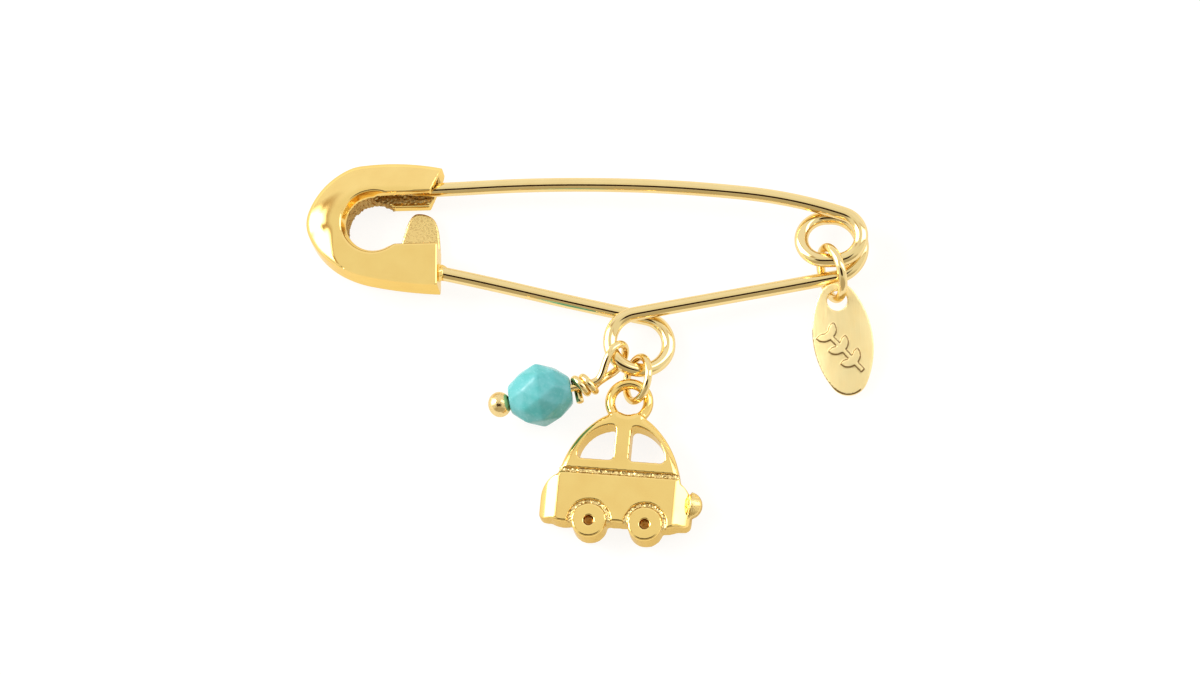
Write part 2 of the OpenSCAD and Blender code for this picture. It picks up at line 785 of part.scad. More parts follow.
module wheel_cuts() {
    face_z = car_t - groove_depth;
    for (side = [-1, 1])
        translate([side * wheel_base / 2, 0, 0]) {
            translate([0, 0, face_z])
                difference() {
                    cylinder(h = car_t, d = wheel_d + 2 * arch_groove_w);
                    translate([0, 0, -over])
                        cylinder(h = car_t + 2 * over, d = wheel_d);
                }
            translate([0, 0, car_t - 3 * groove_depth])
                cylinder(h = car_t, d = hub_d);
        }
}

bail_y = car_body_h + car_roof_h + 0.25 * bail_d;
car_origin = bail_c - bail_y * [-sin(car_turn), cos(car_turn)];

module car_charm() {
    color(gold)
        at(car_origin, 0, car_turn) {
            difference() {
                union() {
                    translate([-body_shift, 0, 0])
                        car_body();
                    translate([-roof_shift, 0, 0])
                        linear_extrude(height = car_t)
                            roof_shape();
                    for (side = [-1, 1])
                        translate([side * wheel_base / 2, 0, 0])
                            cylinder(h = car_t, d = wheel_d);
                    translate([0, bail_y, bail_lift])
                        cylinder(h = bail_t, d = bail_d);
                }
                translate([-roof_shift, 0, 0])
                    car_windows();
                wheel_cuts();
                translate([0, bail_y, -over])
                    cylinder(h = car_t + 2 * over, d = bail_hole_d);
                translate([-car_w / 2 - body_shift, car_body_h, car_t - groove_depth])
                    cube([car_w, belt_groove_w, car_t]);
            }
        }
}

// The bead's pin: its eye hooks round the left side of the middle loop, and its stem
// runs back through the bead to the ball.
eye_v = [cos(eye_heading), sin(eye_heading), 0];
eye_side = [
    -sin(eye_heading) * cos(eye_lean),
    cos(eye_heading) * cos(eye_lean),
    sin(eye_lean),
];
eye_tip_r = loop_r - wire_r - bead_wire / 2 - eye_slack;
eye_tip = [
    loop_c[0] - eye_tip_r * cos(eye_meet),
    loop_c[1] - eye_tip_r * sin(eye_meet),
    loop_front_z,
];
eye_half = (eye_l - bead_wire) / 2;
eye_c = eye_tip - eye_half * eye_v;
bead_z = bead_d / 2 * cos(180 / bead_facets);
stem_v = [cos(bead_slope), sin(bead_slope), 0];
stem_side = [-sin(bead_slope), cos(bead_slope), 0];
wrap_step = bead_wire + wrap_gap;
wrap_first = (bead_l + bead_wire) / 2 + pass_gap;
wrap_last = wrap_first + wraps * wrap_step;
eye_foot = [eye_c[0], eye_c[1], bead_z] - (eye_half + bead_wire) * eye_v;
bead_c = eye_foot - (wrap_last + bead_wire) * stem_v;
ball_seat = sqrt(ball_d * ball_d - bead_hole_d * bead_hole_d) / 2 + pass_gap / 2;

function eye_point(ahead_share, side_share) =
    eye_c + ahead_share * (eye_half - eye_w / 2) * eye_v + side_share * eye_w / 2 * eye_side;
function wrap_point(s, turn) =
    bead_c + s * stem_v + wrap_step * (sin(turn) * stem_side - cos(turn) * [0, 0, 1]);

// A path with its corners cut, which keeps its ends.
function softened(path) = concat(
    [path[0]],
    [
        for (i = [0:len(path) - 2], share = [0.25, 0.75])
            path[i] + share * (path[i + 1] - path[i])
    ],
    [path[len(path) - 1]]
);

// The eye: up its upper strand, round its tip and back down its lower strand.
eye_knots = concat(
    [bead_c + wrap_first * stem_v, eye_foot - bead_wire * stem_v, eye_foot + 0.5 * bead_wire * eye_v],
    [eye_point(-0.6, 1), eye_point(1, 1)],
    [
        for (a = [20:20:160])
            eye_c + (eye_half - eye_w / 2) * eye_v + eye_w / 2 * (cos(a) * eye_side + sin(a) * eye_v)
    ],
    [eye_point(1, -1), eye_point(-0.8, -1)],
    [wrap_point(wrap_last + bead_wire, 20), wrap_point(wrap_last, -10)]
);
tail_start = wrap_point(wrap_first, 0);
eye_path = concat(
    [bead_c - (bead_l / 2 + ball_seat) * stem_v],
    softened(softened(eye_knots)),
    [
        for (a = [30:30:360 * wraps])
            wrap_point(wrap_last - wrap_step * a / 360, -a)
    ],
    [tail_start - 0.5 * bead_wire * stem_side, tail_start - tail_l * stem_side]
);

module bead_pin() {
    color(gold) {
        swept_wire(eye_path, [for (p = eye_path) bead_wire / 2], link_sides, [0, 0, 1]);
        translate(eye_path[0])
            rotate([0, 0, 180 + bead_slope])
                sphere(d = ball_d);
    }
}

// Corners of the bead: rows from one end to the other. Columns: share of the length
// from the middle, share of the radius, turn in shares of a facet.
BEAD_ROWS = [
    [-1, 0.42, 0],
    [-0.56, 0.80, 0.5],
    [0, 1, 0],
    [0.56, 0.80, 0.5],
    [1, 0.42, 0],
];
module bead() {
    facet = 360 / bead_facets;
    color(turquoise)
        translate(bead_c)
            rotate([0, 0, bead_slope])
                rotate([0, 90, 0])
                    difference() {
                        hull()
                            for (row = BEAD_ROWS)
                                translate([0, 0, row[0] * bead_l / 2 - 0.005])
                                    rotate([0, 0, (row[2] + 0.5) * facet])
                                        cylinder(h = 0.01, r = row[1] * bead_d / 2, $fn = bead_facets);
                        translate([0, 0, -bead_l])
                            cylinder(h = 2 * bead_l, d = bead_hole_d);
                    }
}

pin_frame();
pin_tongue();
tag_ring();
tag();
car_ring();
car_charm();
bead();
bead_pin();
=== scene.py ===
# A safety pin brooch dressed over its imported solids: a cast clasp cap, one spring wire, and
# a small car, a bead and a tag on their links. Shapes are worked in millimetres and brought
# to metres when a piece is done.
import math

import bmesh
import bpy
import numpy as np
from mathutils import Matrix, Vector, kdtree, noise


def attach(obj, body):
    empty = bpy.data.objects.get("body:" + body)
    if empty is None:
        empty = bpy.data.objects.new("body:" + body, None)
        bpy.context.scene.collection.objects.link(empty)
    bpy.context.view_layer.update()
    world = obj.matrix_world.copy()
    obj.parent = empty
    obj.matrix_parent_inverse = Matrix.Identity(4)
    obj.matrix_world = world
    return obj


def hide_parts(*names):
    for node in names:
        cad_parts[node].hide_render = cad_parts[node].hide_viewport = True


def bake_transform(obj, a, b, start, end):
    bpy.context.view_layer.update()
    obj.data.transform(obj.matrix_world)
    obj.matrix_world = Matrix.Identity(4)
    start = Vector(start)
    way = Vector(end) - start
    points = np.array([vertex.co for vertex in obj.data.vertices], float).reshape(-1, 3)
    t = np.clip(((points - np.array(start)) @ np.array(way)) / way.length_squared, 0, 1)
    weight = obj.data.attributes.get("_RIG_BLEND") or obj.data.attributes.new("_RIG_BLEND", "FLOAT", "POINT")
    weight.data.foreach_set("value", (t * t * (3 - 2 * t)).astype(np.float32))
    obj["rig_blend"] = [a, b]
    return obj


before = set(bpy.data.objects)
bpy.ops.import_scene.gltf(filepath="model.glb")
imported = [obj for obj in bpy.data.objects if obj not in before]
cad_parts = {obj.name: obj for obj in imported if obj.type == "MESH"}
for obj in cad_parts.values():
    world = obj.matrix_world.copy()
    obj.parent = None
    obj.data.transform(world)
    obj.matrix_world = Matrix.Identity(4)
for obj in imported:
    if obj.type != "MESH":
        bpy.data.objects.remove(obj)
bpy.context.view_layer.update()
bpy.context.scene.view_settings.view_transform = "Standard"
MM = 0.001

# Spring wire
WIRE_R = 0.55
COIL_C = (19.55, 8.35)
COIL_R = 1.93
COIL_REAR_R = 2.46
COIL_FLAT = 0.85
COIL_FRONT_Z = 2.51
COIL_REAR_Z = 1.33
LOOP_R = 2.25
LOOP_FRONT_Z = 1.88
LOOP_REAR_Z = 0.70
LOOP_FRONT_TURN = 115
RIGHT_FALL = 10
LEFT_RISE = 13.3
RIGHT_L = 16.1
LEFT_L = 16.7
TONGUE_SLOPE = 20
NEAR_BEND = (40, 12)
FAR_BEND = (125, 9.5)
TONGUE_STRAIGHT = 3.6
POINT_L = 4.6
POINT_R = 0.08
POINT_END_R = 0.02
IN_CAP_L = 1.2
WOBBLE = 0.02
WOBBLE_L = 7
BEND_STEP = 5
PATH_STEP = 0.6
WIRE_SIDES = 28

# Clasp cap
CAP_T = 3.3
CAP_Z = CAP_T / 2
LOWER_ARM_H = 3.5
SEAT_DROP = 0.3
ROOF_T = 1.4
CHANNEL_GAP = 0.2
FRONT_LIP = 0.55
BACK_LIP = 1.2
HOLE_R = 2.2
HOLE_IN = 5.1
HOLE_DIP = 0.35
HOLE_FLARE = (0.35, 0.7)
ARM_REACH = 0.5
ARM_SLANT = 1.4
DOME = (1.15, 2.5)
DOME_FADE = (114, 156)
EDGE = (0.06, 0.06)
BACK_ROUND = 0.6
CAP_FIRST_HEADING = 176.5
CAP_ARCS = [(9.4, 3.3), (16.6, 0.80), (38, 0.59), (42, 0.26), (46, 0.59), (18, 0.31),
            (10, 1.9), (11, 1.9)]
CAP_K = 10.2186
TAB = [(-3.3, -1), (-3.3, 0), (-2.4, 3.15), (-1.2, 3.15), (-0.225, 2.5), (0, 0), (0, -1)]
TAB_T = 0.8
TOOTH = 0.36
SOLDER_R = 0.7
SOLDER_GRAIN = (0.6, 0.16)
CAP_VOXEL = 0.075
CAP_WELD = 0.02
CAP_SMOOTH = 5
RIM_SMOOTH = 16
CAP_GRAIN = (0.22, 0.09)
NO_DOME = 0.02
ARM_EDGE_REACH = 0.6
SHARP = 25

# Links
LINK_SLIT = 2.4
LINK_SIDES = 24
TAG_LINK = dict(c=(19.15, 5.45, 2.264), r=2.05, wire=0.7, lean=69, turn=18)
CAR_LINK = dict(c=(3.868, -2.651, 1.751), r=1.75, wire=0.6, lean=56, turn=-4)

# Tag
TAG_TURN = 7.5
TAG_TIP = 10
TAG_L = 8.9
TAG_W = 4.7
TAG_T = 0.65
TAG_HOLE_R = 0.8
TAG_UP = 7.5
TAG_HOLE = (19.515, 3.416, 1.302)
TAG_DOME = 0.22
TAG_RIM = 0.93
TAG_VOXEL = 0.05
TAG_SMOOTH = (2, 8)

# Car
CAR_AT = (2.250, -14.255)
CAR_TURN = -5.5
CAR_T = 2.2
BODY_H = 3.75
WHEEL_BASE = 4.38
WHEEL_R = 1.35
ARCH_W = 0.36
HUB_R = 0.4
BELT_W = 0.4
ROOF_SHIFT = 0.15
ROOF_TOP = (5.55, 3.4)
WINDOW = (0.6, 4.95, 2.85)
BODY_ENDS = (-6.23, 5.67)
END_R = 1.5
END_SWEEP = (2.0, 0.09)
ROUND = (0.55, 0.22)
GROOVE = (0.32, 0.2)
LAMP_SPAN = (0.4, 3.3)
CAR_VOXEL = 0.07
CAR_SMOOTH = (6, 2)
CAR_GRAIN = (0.16, 0.08)
BAIL_Y = 9.9
BAIL_R = (1.1, 1.9)
BAIL_Z = (0.8, 1.8)

# Bead and its eye pin
BEAD_C = np.array((-3.672, -3.953, 2.356))
BEAD_L = 4.9
BEAD_SLOPE = 12
BEAD_TILT = 4
BEAD_HOLE = 1.0
BEAD_VOXEL = 0.07
BEAD_SMOOTH = 45
EYE_WIRE = 0.6
BALL_D = 2.0
WRAPS = 2
WRAP_STEP = 0.63
WRAP_LEAN = 0.35
TAIL_L = 1.2
EYE_SIDES = 20
EYE_L = 3.6
EYE_W = 2.15
EYE_HEADING = 58
EYE_LEAN = 70
EYE_C = np.array((2.028, -1.197, 1.88))
EYE_FOOT = np.array((0.916, -2.978, 2.356))

# The camera and the floor
VIEW_BACK = Vector((0.0806, -0.281, 0.956)).normalized()
VIEW_RIGHT = Vector((0.9965, 0, -0.0840)).normalized()
VIEW_UP = VIEW_BACK.cross(VIEW_RIGHT)
CAMERA_FAR = 600
CAMERA_SHIFT = (1.0156, 1.289, 2)
MODEL_SHIFT = Vector((0.23, 0, 0))
SENSOR = 36
FRAMED_W = 93.75
FLOOR_REACH = 1500
FLOOR_T = 20
FLOOR_GAP = 0.004


def linear(colour):
    """An sRGB hex colour as linear red, green, blue and alpha."""
    shares = [int(colour[i:i + 2], 16) / 255 for i in (1, 3, 5)]
    return [s / 12.92 if s <= 0.04045 else ((s + 0.055) / 1.055) ** 2.4
            for s in shares] + [1.0]


def add(tree, kind, settings=(), links=()):
    """Adds a node. Settings are its properties or its sockets' values, links are its inputs."""
    node = tree.nodes.new(kind)
    for name, value in dict(settings).items():
        if isinstance(name, str) and hasattr(node, name):
            setattr(node, name, value)
        else:
            node.inputs[name].default_value = value
    for name, output in dict(links).items():
        tree.links.new(output, node.inputs[name])
    return node


def new_material(name):
    """An empty material and its tree, with a Principled shader on the output."""
    material = bpy.data.materials.new(name)
    material.use_nodes = True
    tree = material.node_tree
    tree.nodes.clear()
    shader = add(tree, "ShaderNodeBsdfPrincipled")
    add(tree, "ShaderNodeOutputMaterial", {}, {"Surface": shader.outputs[0]})
    return material, tree, shader


def polished_gold_plate(name, light, deep, edge):
    """Cast or drawn brass, barrel polished and gold plated: a near mirror with soft waves.
    Where polishing doesn't reach, the casting stays matt, pale and grainy, and painted shade darkens the
    deepest places, some edges and the side walls. Drawn wire is a little paler than the castings."""
    material, tree, shader = new_material(name)
    place = add(tree, "ShaderNodeTexCoord").outputs["Object"]
    wave = add(tree, "ShaderNodeTexNoise", {"Scale": 1 / (1.6 * MM), "Detail": 2.0},
               {"Vector": place})
    grit = add(tree, "ShaderNodeTexNoise", {"Scale": 1 / (0.14 * MM), "Detail": 3.0},
               {"Vector": place})
    cast = add(tree, "ShaderNodeAttribute", {"attribute_name": "cast"}).outputs["Fac"]
    painted_shade = add(tree, "ShaderNodeAttribute", {"attribute_name": "painted_shade"}).outputs["Fac"]
    tint = add(tree, "ShaderNodeMath", {"operation": "MULTIPLY_ADD", 1: 0.35, 2: -0.08},
               {0: wave.outputs["Fac"]})
    gold = add(tree, "ShaderNodeMix", {"data_type": "RGBA", 6: linear(light), 7: linear(deep)},
               {0: tint.outputs[0]})
    matt = add(tree, "ShaderNodeMix", {"data_type": "RGBA", 7: linear("#E6CB8A")},
               {0: cast, 6: gold.outputs[2]})
    pits = add(tree, "ShaderNodeMapRange",
               {"From Min": 0.52, "From Max": 0.68, "To Min": 0.0, "To Max": 0.7},
               {"Value": grit.outputs["Fac"]})
    # Painted shade: the marked deep places, edges and walls are darkened to brown, along with the grain's pits
    # on bare casting.
    specks_and_shade = add(tree, "ShaderNodeMath", {"operation": "MULTIPLY_ADD", "use_clamp": True},
                 {0: cast, 1: pits.outputs[0], 2: painted_shade})
    colour = add(tree, "ShaderNodeMix", {"data_type": "RGBA", 7: linear("#8E520F")},
                 {0: specks_and_shade.outputs[0], 6: matt.outputs[2]})
    polish = add(tree, "ShaderNodeMapRange",
                 {"From Min": 0.35, "From Max": 0.65, "To Min": 0.07, "To Max": 0.12},
                 {"Value": wave.outputs["Fac"]})
    rough = add(tree, "ShaderNodeMath", {"operation": "MULTIPLY_ADD", 1: 0.28},
                {0: cast, 2: polish.outputs[0]})
    grip = add(tree, "ShaderNodeMath", {"operation": "MULTIPLY_ADD", 1: 0.8, 2: 0.02}, {0: cast})
    relief = add(tree, "ShaderNodeBump", {"Distance": 0.04 * MM},
                 {"Height": grit.outputs["Fac"], "Strength": grip.outputs[0]})
    shader.inputs["Metallic"].default_value = 1.0
    shader.inputs["Specular Tint"].default_value = linear(edge)
    tree.links.new(colour.outputs[2], shader.inputs["Base Color"])
    tree.links.new(rough.outputs[0], shader.inputs["Roughness"])
    tree.links.new(relief.outputs[0], shader.inputs["Normal"])
    return material


def satin_gold_plate():
    """Stamped brass, brushed along its length before plating: fine soft scratches that
    spread the light."""
    material, tree, shader = new_material("satin_gold_plate")
    place = add(tree, "ShaderNodeTexCoord").outputs["Object"]
    along = add(tree, "ShaderNodeMapping",
                {"Rotation": (0, 0, math.radians(-6.5)), "Scale": (1 / 0.07, 1 / 1.6, 1)},
                {"Vector": place})
    brushed = add(tree, "ShaderNodeTexNoise", {"Scale": 1 / MM, "Detail": 3.0},
                  {"Vector": along.outputs[0]})
    cloud = add(tree, "ShaderNodeTexNoise", {"Scale": 1 / (1.8 * MM), "Detail": 3.0},
                {"Vector": place})
    colour = add(tree, "ShaderNodeMix",
                 {"data_type": "RGBA", 6: linear("#FFEFB8"), 7: linear("#FFE29C")},
                 {0: cloud.outputs["Fac"]})
    # Painted shade: the marked relief walls and low edge are darkened to brown.
    painted_shade = add(tree, "ShaderNodeAttribute", {"attribute_name": "painted_shade"}).outputs["Fac"]
    colour = add(tree, "ShaderNodeMix", {"data_type": "RGBA", 7: linear("#6A4414")},
                 {0: painted_shade, 6: colour.outputs[2]})
    rough = add(tree, "ShaderNodeMapRange",
                {"From Min": 0.3, "From Max": 0.7, "To Min": 0.4, "To Max": 0.55},
                {"Value": brushed.outputs["Fac"]})
    relief = add(tree, "ShaderNodeBump", {"Distance": 0.02 * MM, "Strength": 0.35},
                 {"Height": brushed.outputs["Fac"]})
    shader.inputs["Metallic"].default_value = 1.0
    shader.inputs["Specular Tint"].default_value = linear("#FBEFD0")
    tree.links.new(colour.outputs[2], shader.inputs["Base Color"])
    tree.links.new(rough.outputs[0], shader.inputs["Roughness"])
    tree.links.new(relief.outputs[0], shader.inputs["Normal"])
    return material


def fire_polished_glass():
    """Opaque pressed glass, its facets melted smooth in the fire: glossy, with a faint
    cloudy mottle in the colour."""
    material, tree, shader = new_material("fire_polished_glass")
    place = add(tree, "ShaderNodeTexCoord").outputs["Object"]
    cloud = add(tree, "ShaderNodeTexNoise",
                {"Scale": 1 / (1.1 * MM), "Detail": 5.0, "Roughness": 0.62}, {"Vector": place})
    speck = add(tree, "ShaderNodeTexNoise", {"Scale": 1 / (0.25 * MM), "Detail": 2.0},
                {"Vector": place})
    share = add(tree, "ShaderNodeMapRange", {"From Min": 0.38, "From Max": 0.62},
                {"Value": cloud.outputs["Fac"]})
    colour = add(tree, "ShaderNodeMix",
                 {"data_type": "RGBA", 6: linear("#55AAA8"), 7: linear("#6CB4B4")},
                 {0: share.outputs[0]})
    rough = add(tree, "ShaderNodeMapRange",
                {"From Min": 0.35, "From Max": 0.65, "To Min": 0.2, "To Max": 0.28},
                {"Value": speck.outputs["Fac"]})
    relief = add(tree, "ShaderNodeBump", {"Distance": 0.02 * MM, "Strength": 0.05},
                 {"Height": speck.outputs["Fac"]})
    shader.inputs["IOR"].default_value = 1.54
    shader.inputs["Specular IOR Level"].default_value = 0.3
    tree.links.new(colour.outputs[2], shader.inputs["Base Color"])
    tree.links.new(rough.outputs[0], shader.inputs["Roughness"])
    tree.links.new(relief.outputs[0], shader.inputs["Normal"])
    return material


GOLD = polished_gold_plate("cast_gold_plate", "#FAD987", "#E0A94C", "#F9E9BE")
WIRE_GOLD = polished_gold_plate("drawn_gold_plate", "#F3DA9C", "#DBB46A", "#FFF6E4")
SATIN = satin_gold_plate()
GLASS = fire_polished_glass()


# Mesh work
def solid(points, faces, edges=()):
    """A new mesh object from points and faces, or from points and edges."""
    mesh = bpy.data.meshes.new("work")
    mesh.from_pydata([tuple(p) for p in points], edges, faces)
    obj = bpy.data.objects.new("work", mesh)
    bpy.context.scene.collection.objects.link(obj)
    return obj


def lofted(rings):
    """A closed solid through rings of points, which run anticlockwise and rise."""
    count, last = len(rings[0]), len(rings) - 1
    faces = [tuple(range(count - 1, -1, -1)),
             tuple(last * count + j for j in range(count))]
    for i in range(last):
        for j in range(count):
            a, b = i * count + j, i * count + (j + 1) % count
            faces.append((a, b, b + count, a + count))
    return solid([p for ring in rings for p in ring], faces)


def prism(outline, low, high):
    """An outline raised from one height to another."""
    return lofted([[(p[0], p[1], z) for p in outline] for z in (low, high)])


def disc(c, r, count=96):
    """Points on a circle."""
    angles = [2 * math.pi * i / count for i in range(count)]
    return [(c[0] + r * math.cos(a), c[1] + r * math.sin(a)) for a in angles]


def settled(obj):
    """Makes what the object's modifiers give its own mesh."""
    graph = bpy.context.evaluated_depsgraph_get()
    made = bpy.data.meshes.new_from_object(obj.evaluated_get(graph))
    obj.modifiers.clear()
    obj.data = made
    return obj


def modified(obj, kind, **settings):
    """Applies one modifier to a mesh."""
    mod = obj.modifiers.new("work", kind)
    for name, value in settings.items():
        setattr(mod, name, value)
    return settled(obj)


def joined_by(obj, tool, operation):
    """Adds a second mesh to the first, or takes it away, and removes the second."""
    modified(obj, "BOOLEAN", object=tool, operation=operation, solver="EXACT")
    bpy.data.objects.remove(tool)
    return obj


def corners(obj):
    """The mesh's points as an array."""
    co = np.zeros(len(obj.data.vertices) * 3)
    obj.data.vertices.foreach_get("co", co)
    return co.reshape(-1, 3)


def mark(obj, name, values):
    """Keeps one number for each point of the mesh."""
    attribute = obj.data.attributes.new(name, "FLOAT", "POINT")
    attribute.data.foreach_set("value", np.asarray(values, np.float32))


def normals(obj):
    """The ways that the mesh's points face, as an array."""
    found = np.zeros(len(obj.data.vertices) * 3)
    obj.data.vertex_normals.foreach_get("vector", found)
    return found.reshape(-1, 3)


def roughened(obj, share, size, height):
    """Moves the points along their normals by fine noise, where share says so."""
    co, out = corners(obj), normals(obj)
    for i in np.nonzero(share > 0.01)[0]:
        grain = noise.fractal(Vector(co[i] / size), 0.6, 2.0, 3)
        co[i] += out[i] * share[i] * height * grain
    obj.data.vertices.foreach_set("co", co.ravel())
    obj.data.update()


def smoothed(obj, times, weights=None):
    """Rounds the edges, all over or by the weights of the points."""
    group = ""
    if weights is not None:
        group = "round"
        made = obj.vertex_groups.new(name=group)
        for step in range(1, 5):
            chosen = np.nonzero(np.round(weights * 4) == step)[0]
            made.add([int(i) for i in chosen], step / 4, "REPLACE")
    modified(obj, "SMOOTH", factor=0.5, iterations=times, vertex_group=group)
    obj.vertex_groups.clear()
    return obj


def cad_copy(node):
    """A copy of a CAD node's mesh in millimetres, with its loose corners merged."""
    obj = bpy.data.objects.new("work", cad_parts[node].data.copy())
    bpy.context.scene.collection.objects.link(obj)
    obj.data.transform(Matrix.Scale(1 / MM, 4))
    work = bmesh.new()
    work.from_mesh(obj.data)
    bmesh.ops.remove_doubles(work, verts=work.verts, dist=0.0005)
    work.to_mesh(obj.data)
    work.free()
    for name in [a.name for a in obj.data.attributes if a.name.startswith("custom")]:
        obj.data.attributes.remove(obj.data.attributes[name])
    return obj


def piece(obj, name, material, nodes, body="frame"):
    """Brings a finished shape to metres, and gives it its name, finish and body."""
    obj.name = name
    obj.data.name = name
    obj.data.transform(Matrix.Scale(MM, 4))
    obj.data.materials.clear()
    obj.data.materials.append(material)
    obj.data.polygons.foreach_set("material_index", [0] * len(obj.data.polygons))
    obj.data.shade_smooth()
    if body:
        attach(obj, body)
    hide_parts(*nodes)
    return obj


def drawn_wire_tree():
    """A round wire along a path, as thick at each point as the path says."""
    tree = bpy.data.node_groups.new("drawn_wire", "GeometryNodeTree")
    tree.interface.new_socket("Path", in_out="INPUT", socket_type="NodeSocketGeometry")
    inputs = {
        name: tree.interface.new_socket(name, in_out="INPUT", socket_type=kind)
        for name, kind in (("Sides", "NodeSocketInt"), ("Plating", "NodeSocketMaterial"))
    }
    tree.interface.new_socket("Wire", in_out="OUTPUT", socket_type="NodeSocketGeometry")
    given = add(tree, "NodeGroupInput").outputs
    line = add(tree, "GeometryNodeMeshToCurve", {}, {"Mesh": given["Path"]})
    section = add(tree, "GeometryNodeCurvePrimitiveCircle", {"Radius": 1.0},
                  {"Resolution": given["Sides"]})
    thick = add(tree, "GeometryNodeInputNamedAttribute",
                {"data_type": "FLOAT", "Name": "thickness"})
    tube = add(tree, "GeometryNodeCurveToMesh", {"Fill Caps": True}, {
        "Curve": line.outputs[0], "Profile Curve": section.outputs[0], "Scale": thick.outputs[0]})
    real = add(tree, "GeometryNodeRealizeInstances", {}, {"Geometry": tube.outputs[0]})
    plated = add(tree, "GeometryNodeSetMaterial", {},
                 {"Geometry": real.outputs[0], "Material": given["Plating"]})
    add(tree, "NodeGroupOutput", {}, {"Wire": plated.outputs[0]})
    return tree, inputs


WIRE_TREE, WIRE_INPUTS = drawn_wire_tree()


def drawn(path, radii, sides):
    """A wire drawn along a path, in millimetres."""
    obj = solid(path, [], [(i, i + 1) for i in range(len(path) - 1)])
    mark(obj, "thickness", radii)
    mod = obj.modifiers.new("drawn", "NODES")
    mod.node_group = WIRE_TREE
    mod[WIRE_INPUTS["Sides"].identifier] = sides
    mod[WIRE_INPUTS["Plating"].identifier] = WIRE_GOLD
    return settled(obj)


def blunt(path, r):
    """Rounds a wire's last end: the path with a few points added there, and its radii."""
    path = [np.array(p, float) for p in path]
    end = path[-1]
    back = 0.5 * r * (end - path[-2]) / np.linalg.norm(end - path[-2])
    steps = [math.radians(a) for a in (30, 60, 90)]
    nose = [end - back * (1 - math.sin(a)) for a in steps]
    radii = [r] * len(path) + [max(r * math.cos(a), 0.02 * r) for a in steps]
    return path[:-1] + [end - back] + nose, radii


def ahead(p, heading, l):
    """The point a length further on along a heading, in degrees."""
    h = math.radians(heading)
    return (p[0] + l * math.cos(h), p[1] + l * math.sin(h))


def turned(p, heading, r, turn):
    """Where a bend ends that starts at p along a heading and turns left by turn."""
    a, b = math.radians(heading), math.radians(heading + turn)
    return (p[0] + r * (math.sin(b) - math.sin(a)), p[1] + r * (math.cos(a) - math.cos(b)))


def eased(t):
    """A share from 0 to 1 that starts and ends gently."""
    return t * t * (3 - 2 * t)


def bend(c, r, start, end, low, high):
    """Points along a bend, without its first one. The height eases from one end to the other."""
    steps = max(2, round(abs(end - start) / BEND_STEP))
    found = []
    for i in range(1, steps + 1):
        a = math.radians(start + (end - start) * i / steps)
        z = low + (high - low) * eased(i / steps)
        found.append((c[0] + r * math.cos(a), c[1] + r * math.sin(a), z))
    return found


def straight(p, q, low, high):
    """Points along a straight, without its first one. Its height eases too."""
    steps = max(1, round(math.dist(p, q) / PATH_STEP))
    shares = [i / steps for i in range(1, steps + 1)]
    return [(p[0] + (q[0] - p[0]) * t, p[1] + (q[1] - p[1]) * t, low + (high - low) * eased(t))
            for t in shares]


def softened(path):
    """A path with its corners cut, which keeps its ends."""
    found = [path[0]]
    for p, q in zip(path, path[1:]):
        found += [p + 0.25 * (q - p), p + 0.75 * (q - p)]
    return found + [path[-1]]


# Plan of the spring wire
tongue_heading = 180 - TONGUE_SLOPE
tongue_start = (COIL_C[0] + COIL_R * math.sin(math.radians(TONGUE_SLOPE)),
                COIL_C[1] + COIL_R * math.cos(math.radians(TONGUE_SLOPE)))
rear_c = (COIL_C[0] + COIL_R - COIL_REAR_R, COIL_C[1] + COIL_R - COIL_REAR_R)
coil_left = (COIL_C[0] - COIL_FLAT, COIL_C[1])
lower_start = (rear_c[0] + COIL_REAR_R * math.sin(math.radians(RIGHT_FALL)),
               rear_c[1] - COIL_REAR_R * math.cos(math.radians(RIGHT_FALL)))
loop_start = ahead(lower_start, 180 + RIGHT_FALL, RIGHT_L)
loop_c = (loop_start[0] + LOOP_R * math.sin(math.radians(RIGHT_FALL)),
          loop_start[1] - LOOP_R * math.cos(math.radians(RIGHT_FALL)))
loop_first = 90 + RIGHT_FALL
loop_dip = loop_first + LOOP_FRONT_TURN
loop_last = loop_first + 360 - RIGHT_FALL - LEFT_RISE
loop_end = (loop_c[0] + LOOP_R * math.sin(math.radians(LEFT_RISE)),
            loop_c[1] + LOOP_R * math.cos(math.radians(LEFT_RISE)))
lower_end = ahead(loop_end, 180 - LEFT_RISE, LEFT_L)

near_end = turned(tongue_start, tongue_heading, *NEAR_BEND)
far_heading = tongue_heading + NEAR_BEND[1]
far_end = turned(near_end, far_heading, *FAR_BEND)
tip_heading = far_heading + FAR_BEND[1]
channel_c = ahead(far_end, tip_heading, TONGUE_STRAIGHT)
tip_end = ahead(far_end, tip_heading, TONGUE_STRAIGHT + POINT_L)


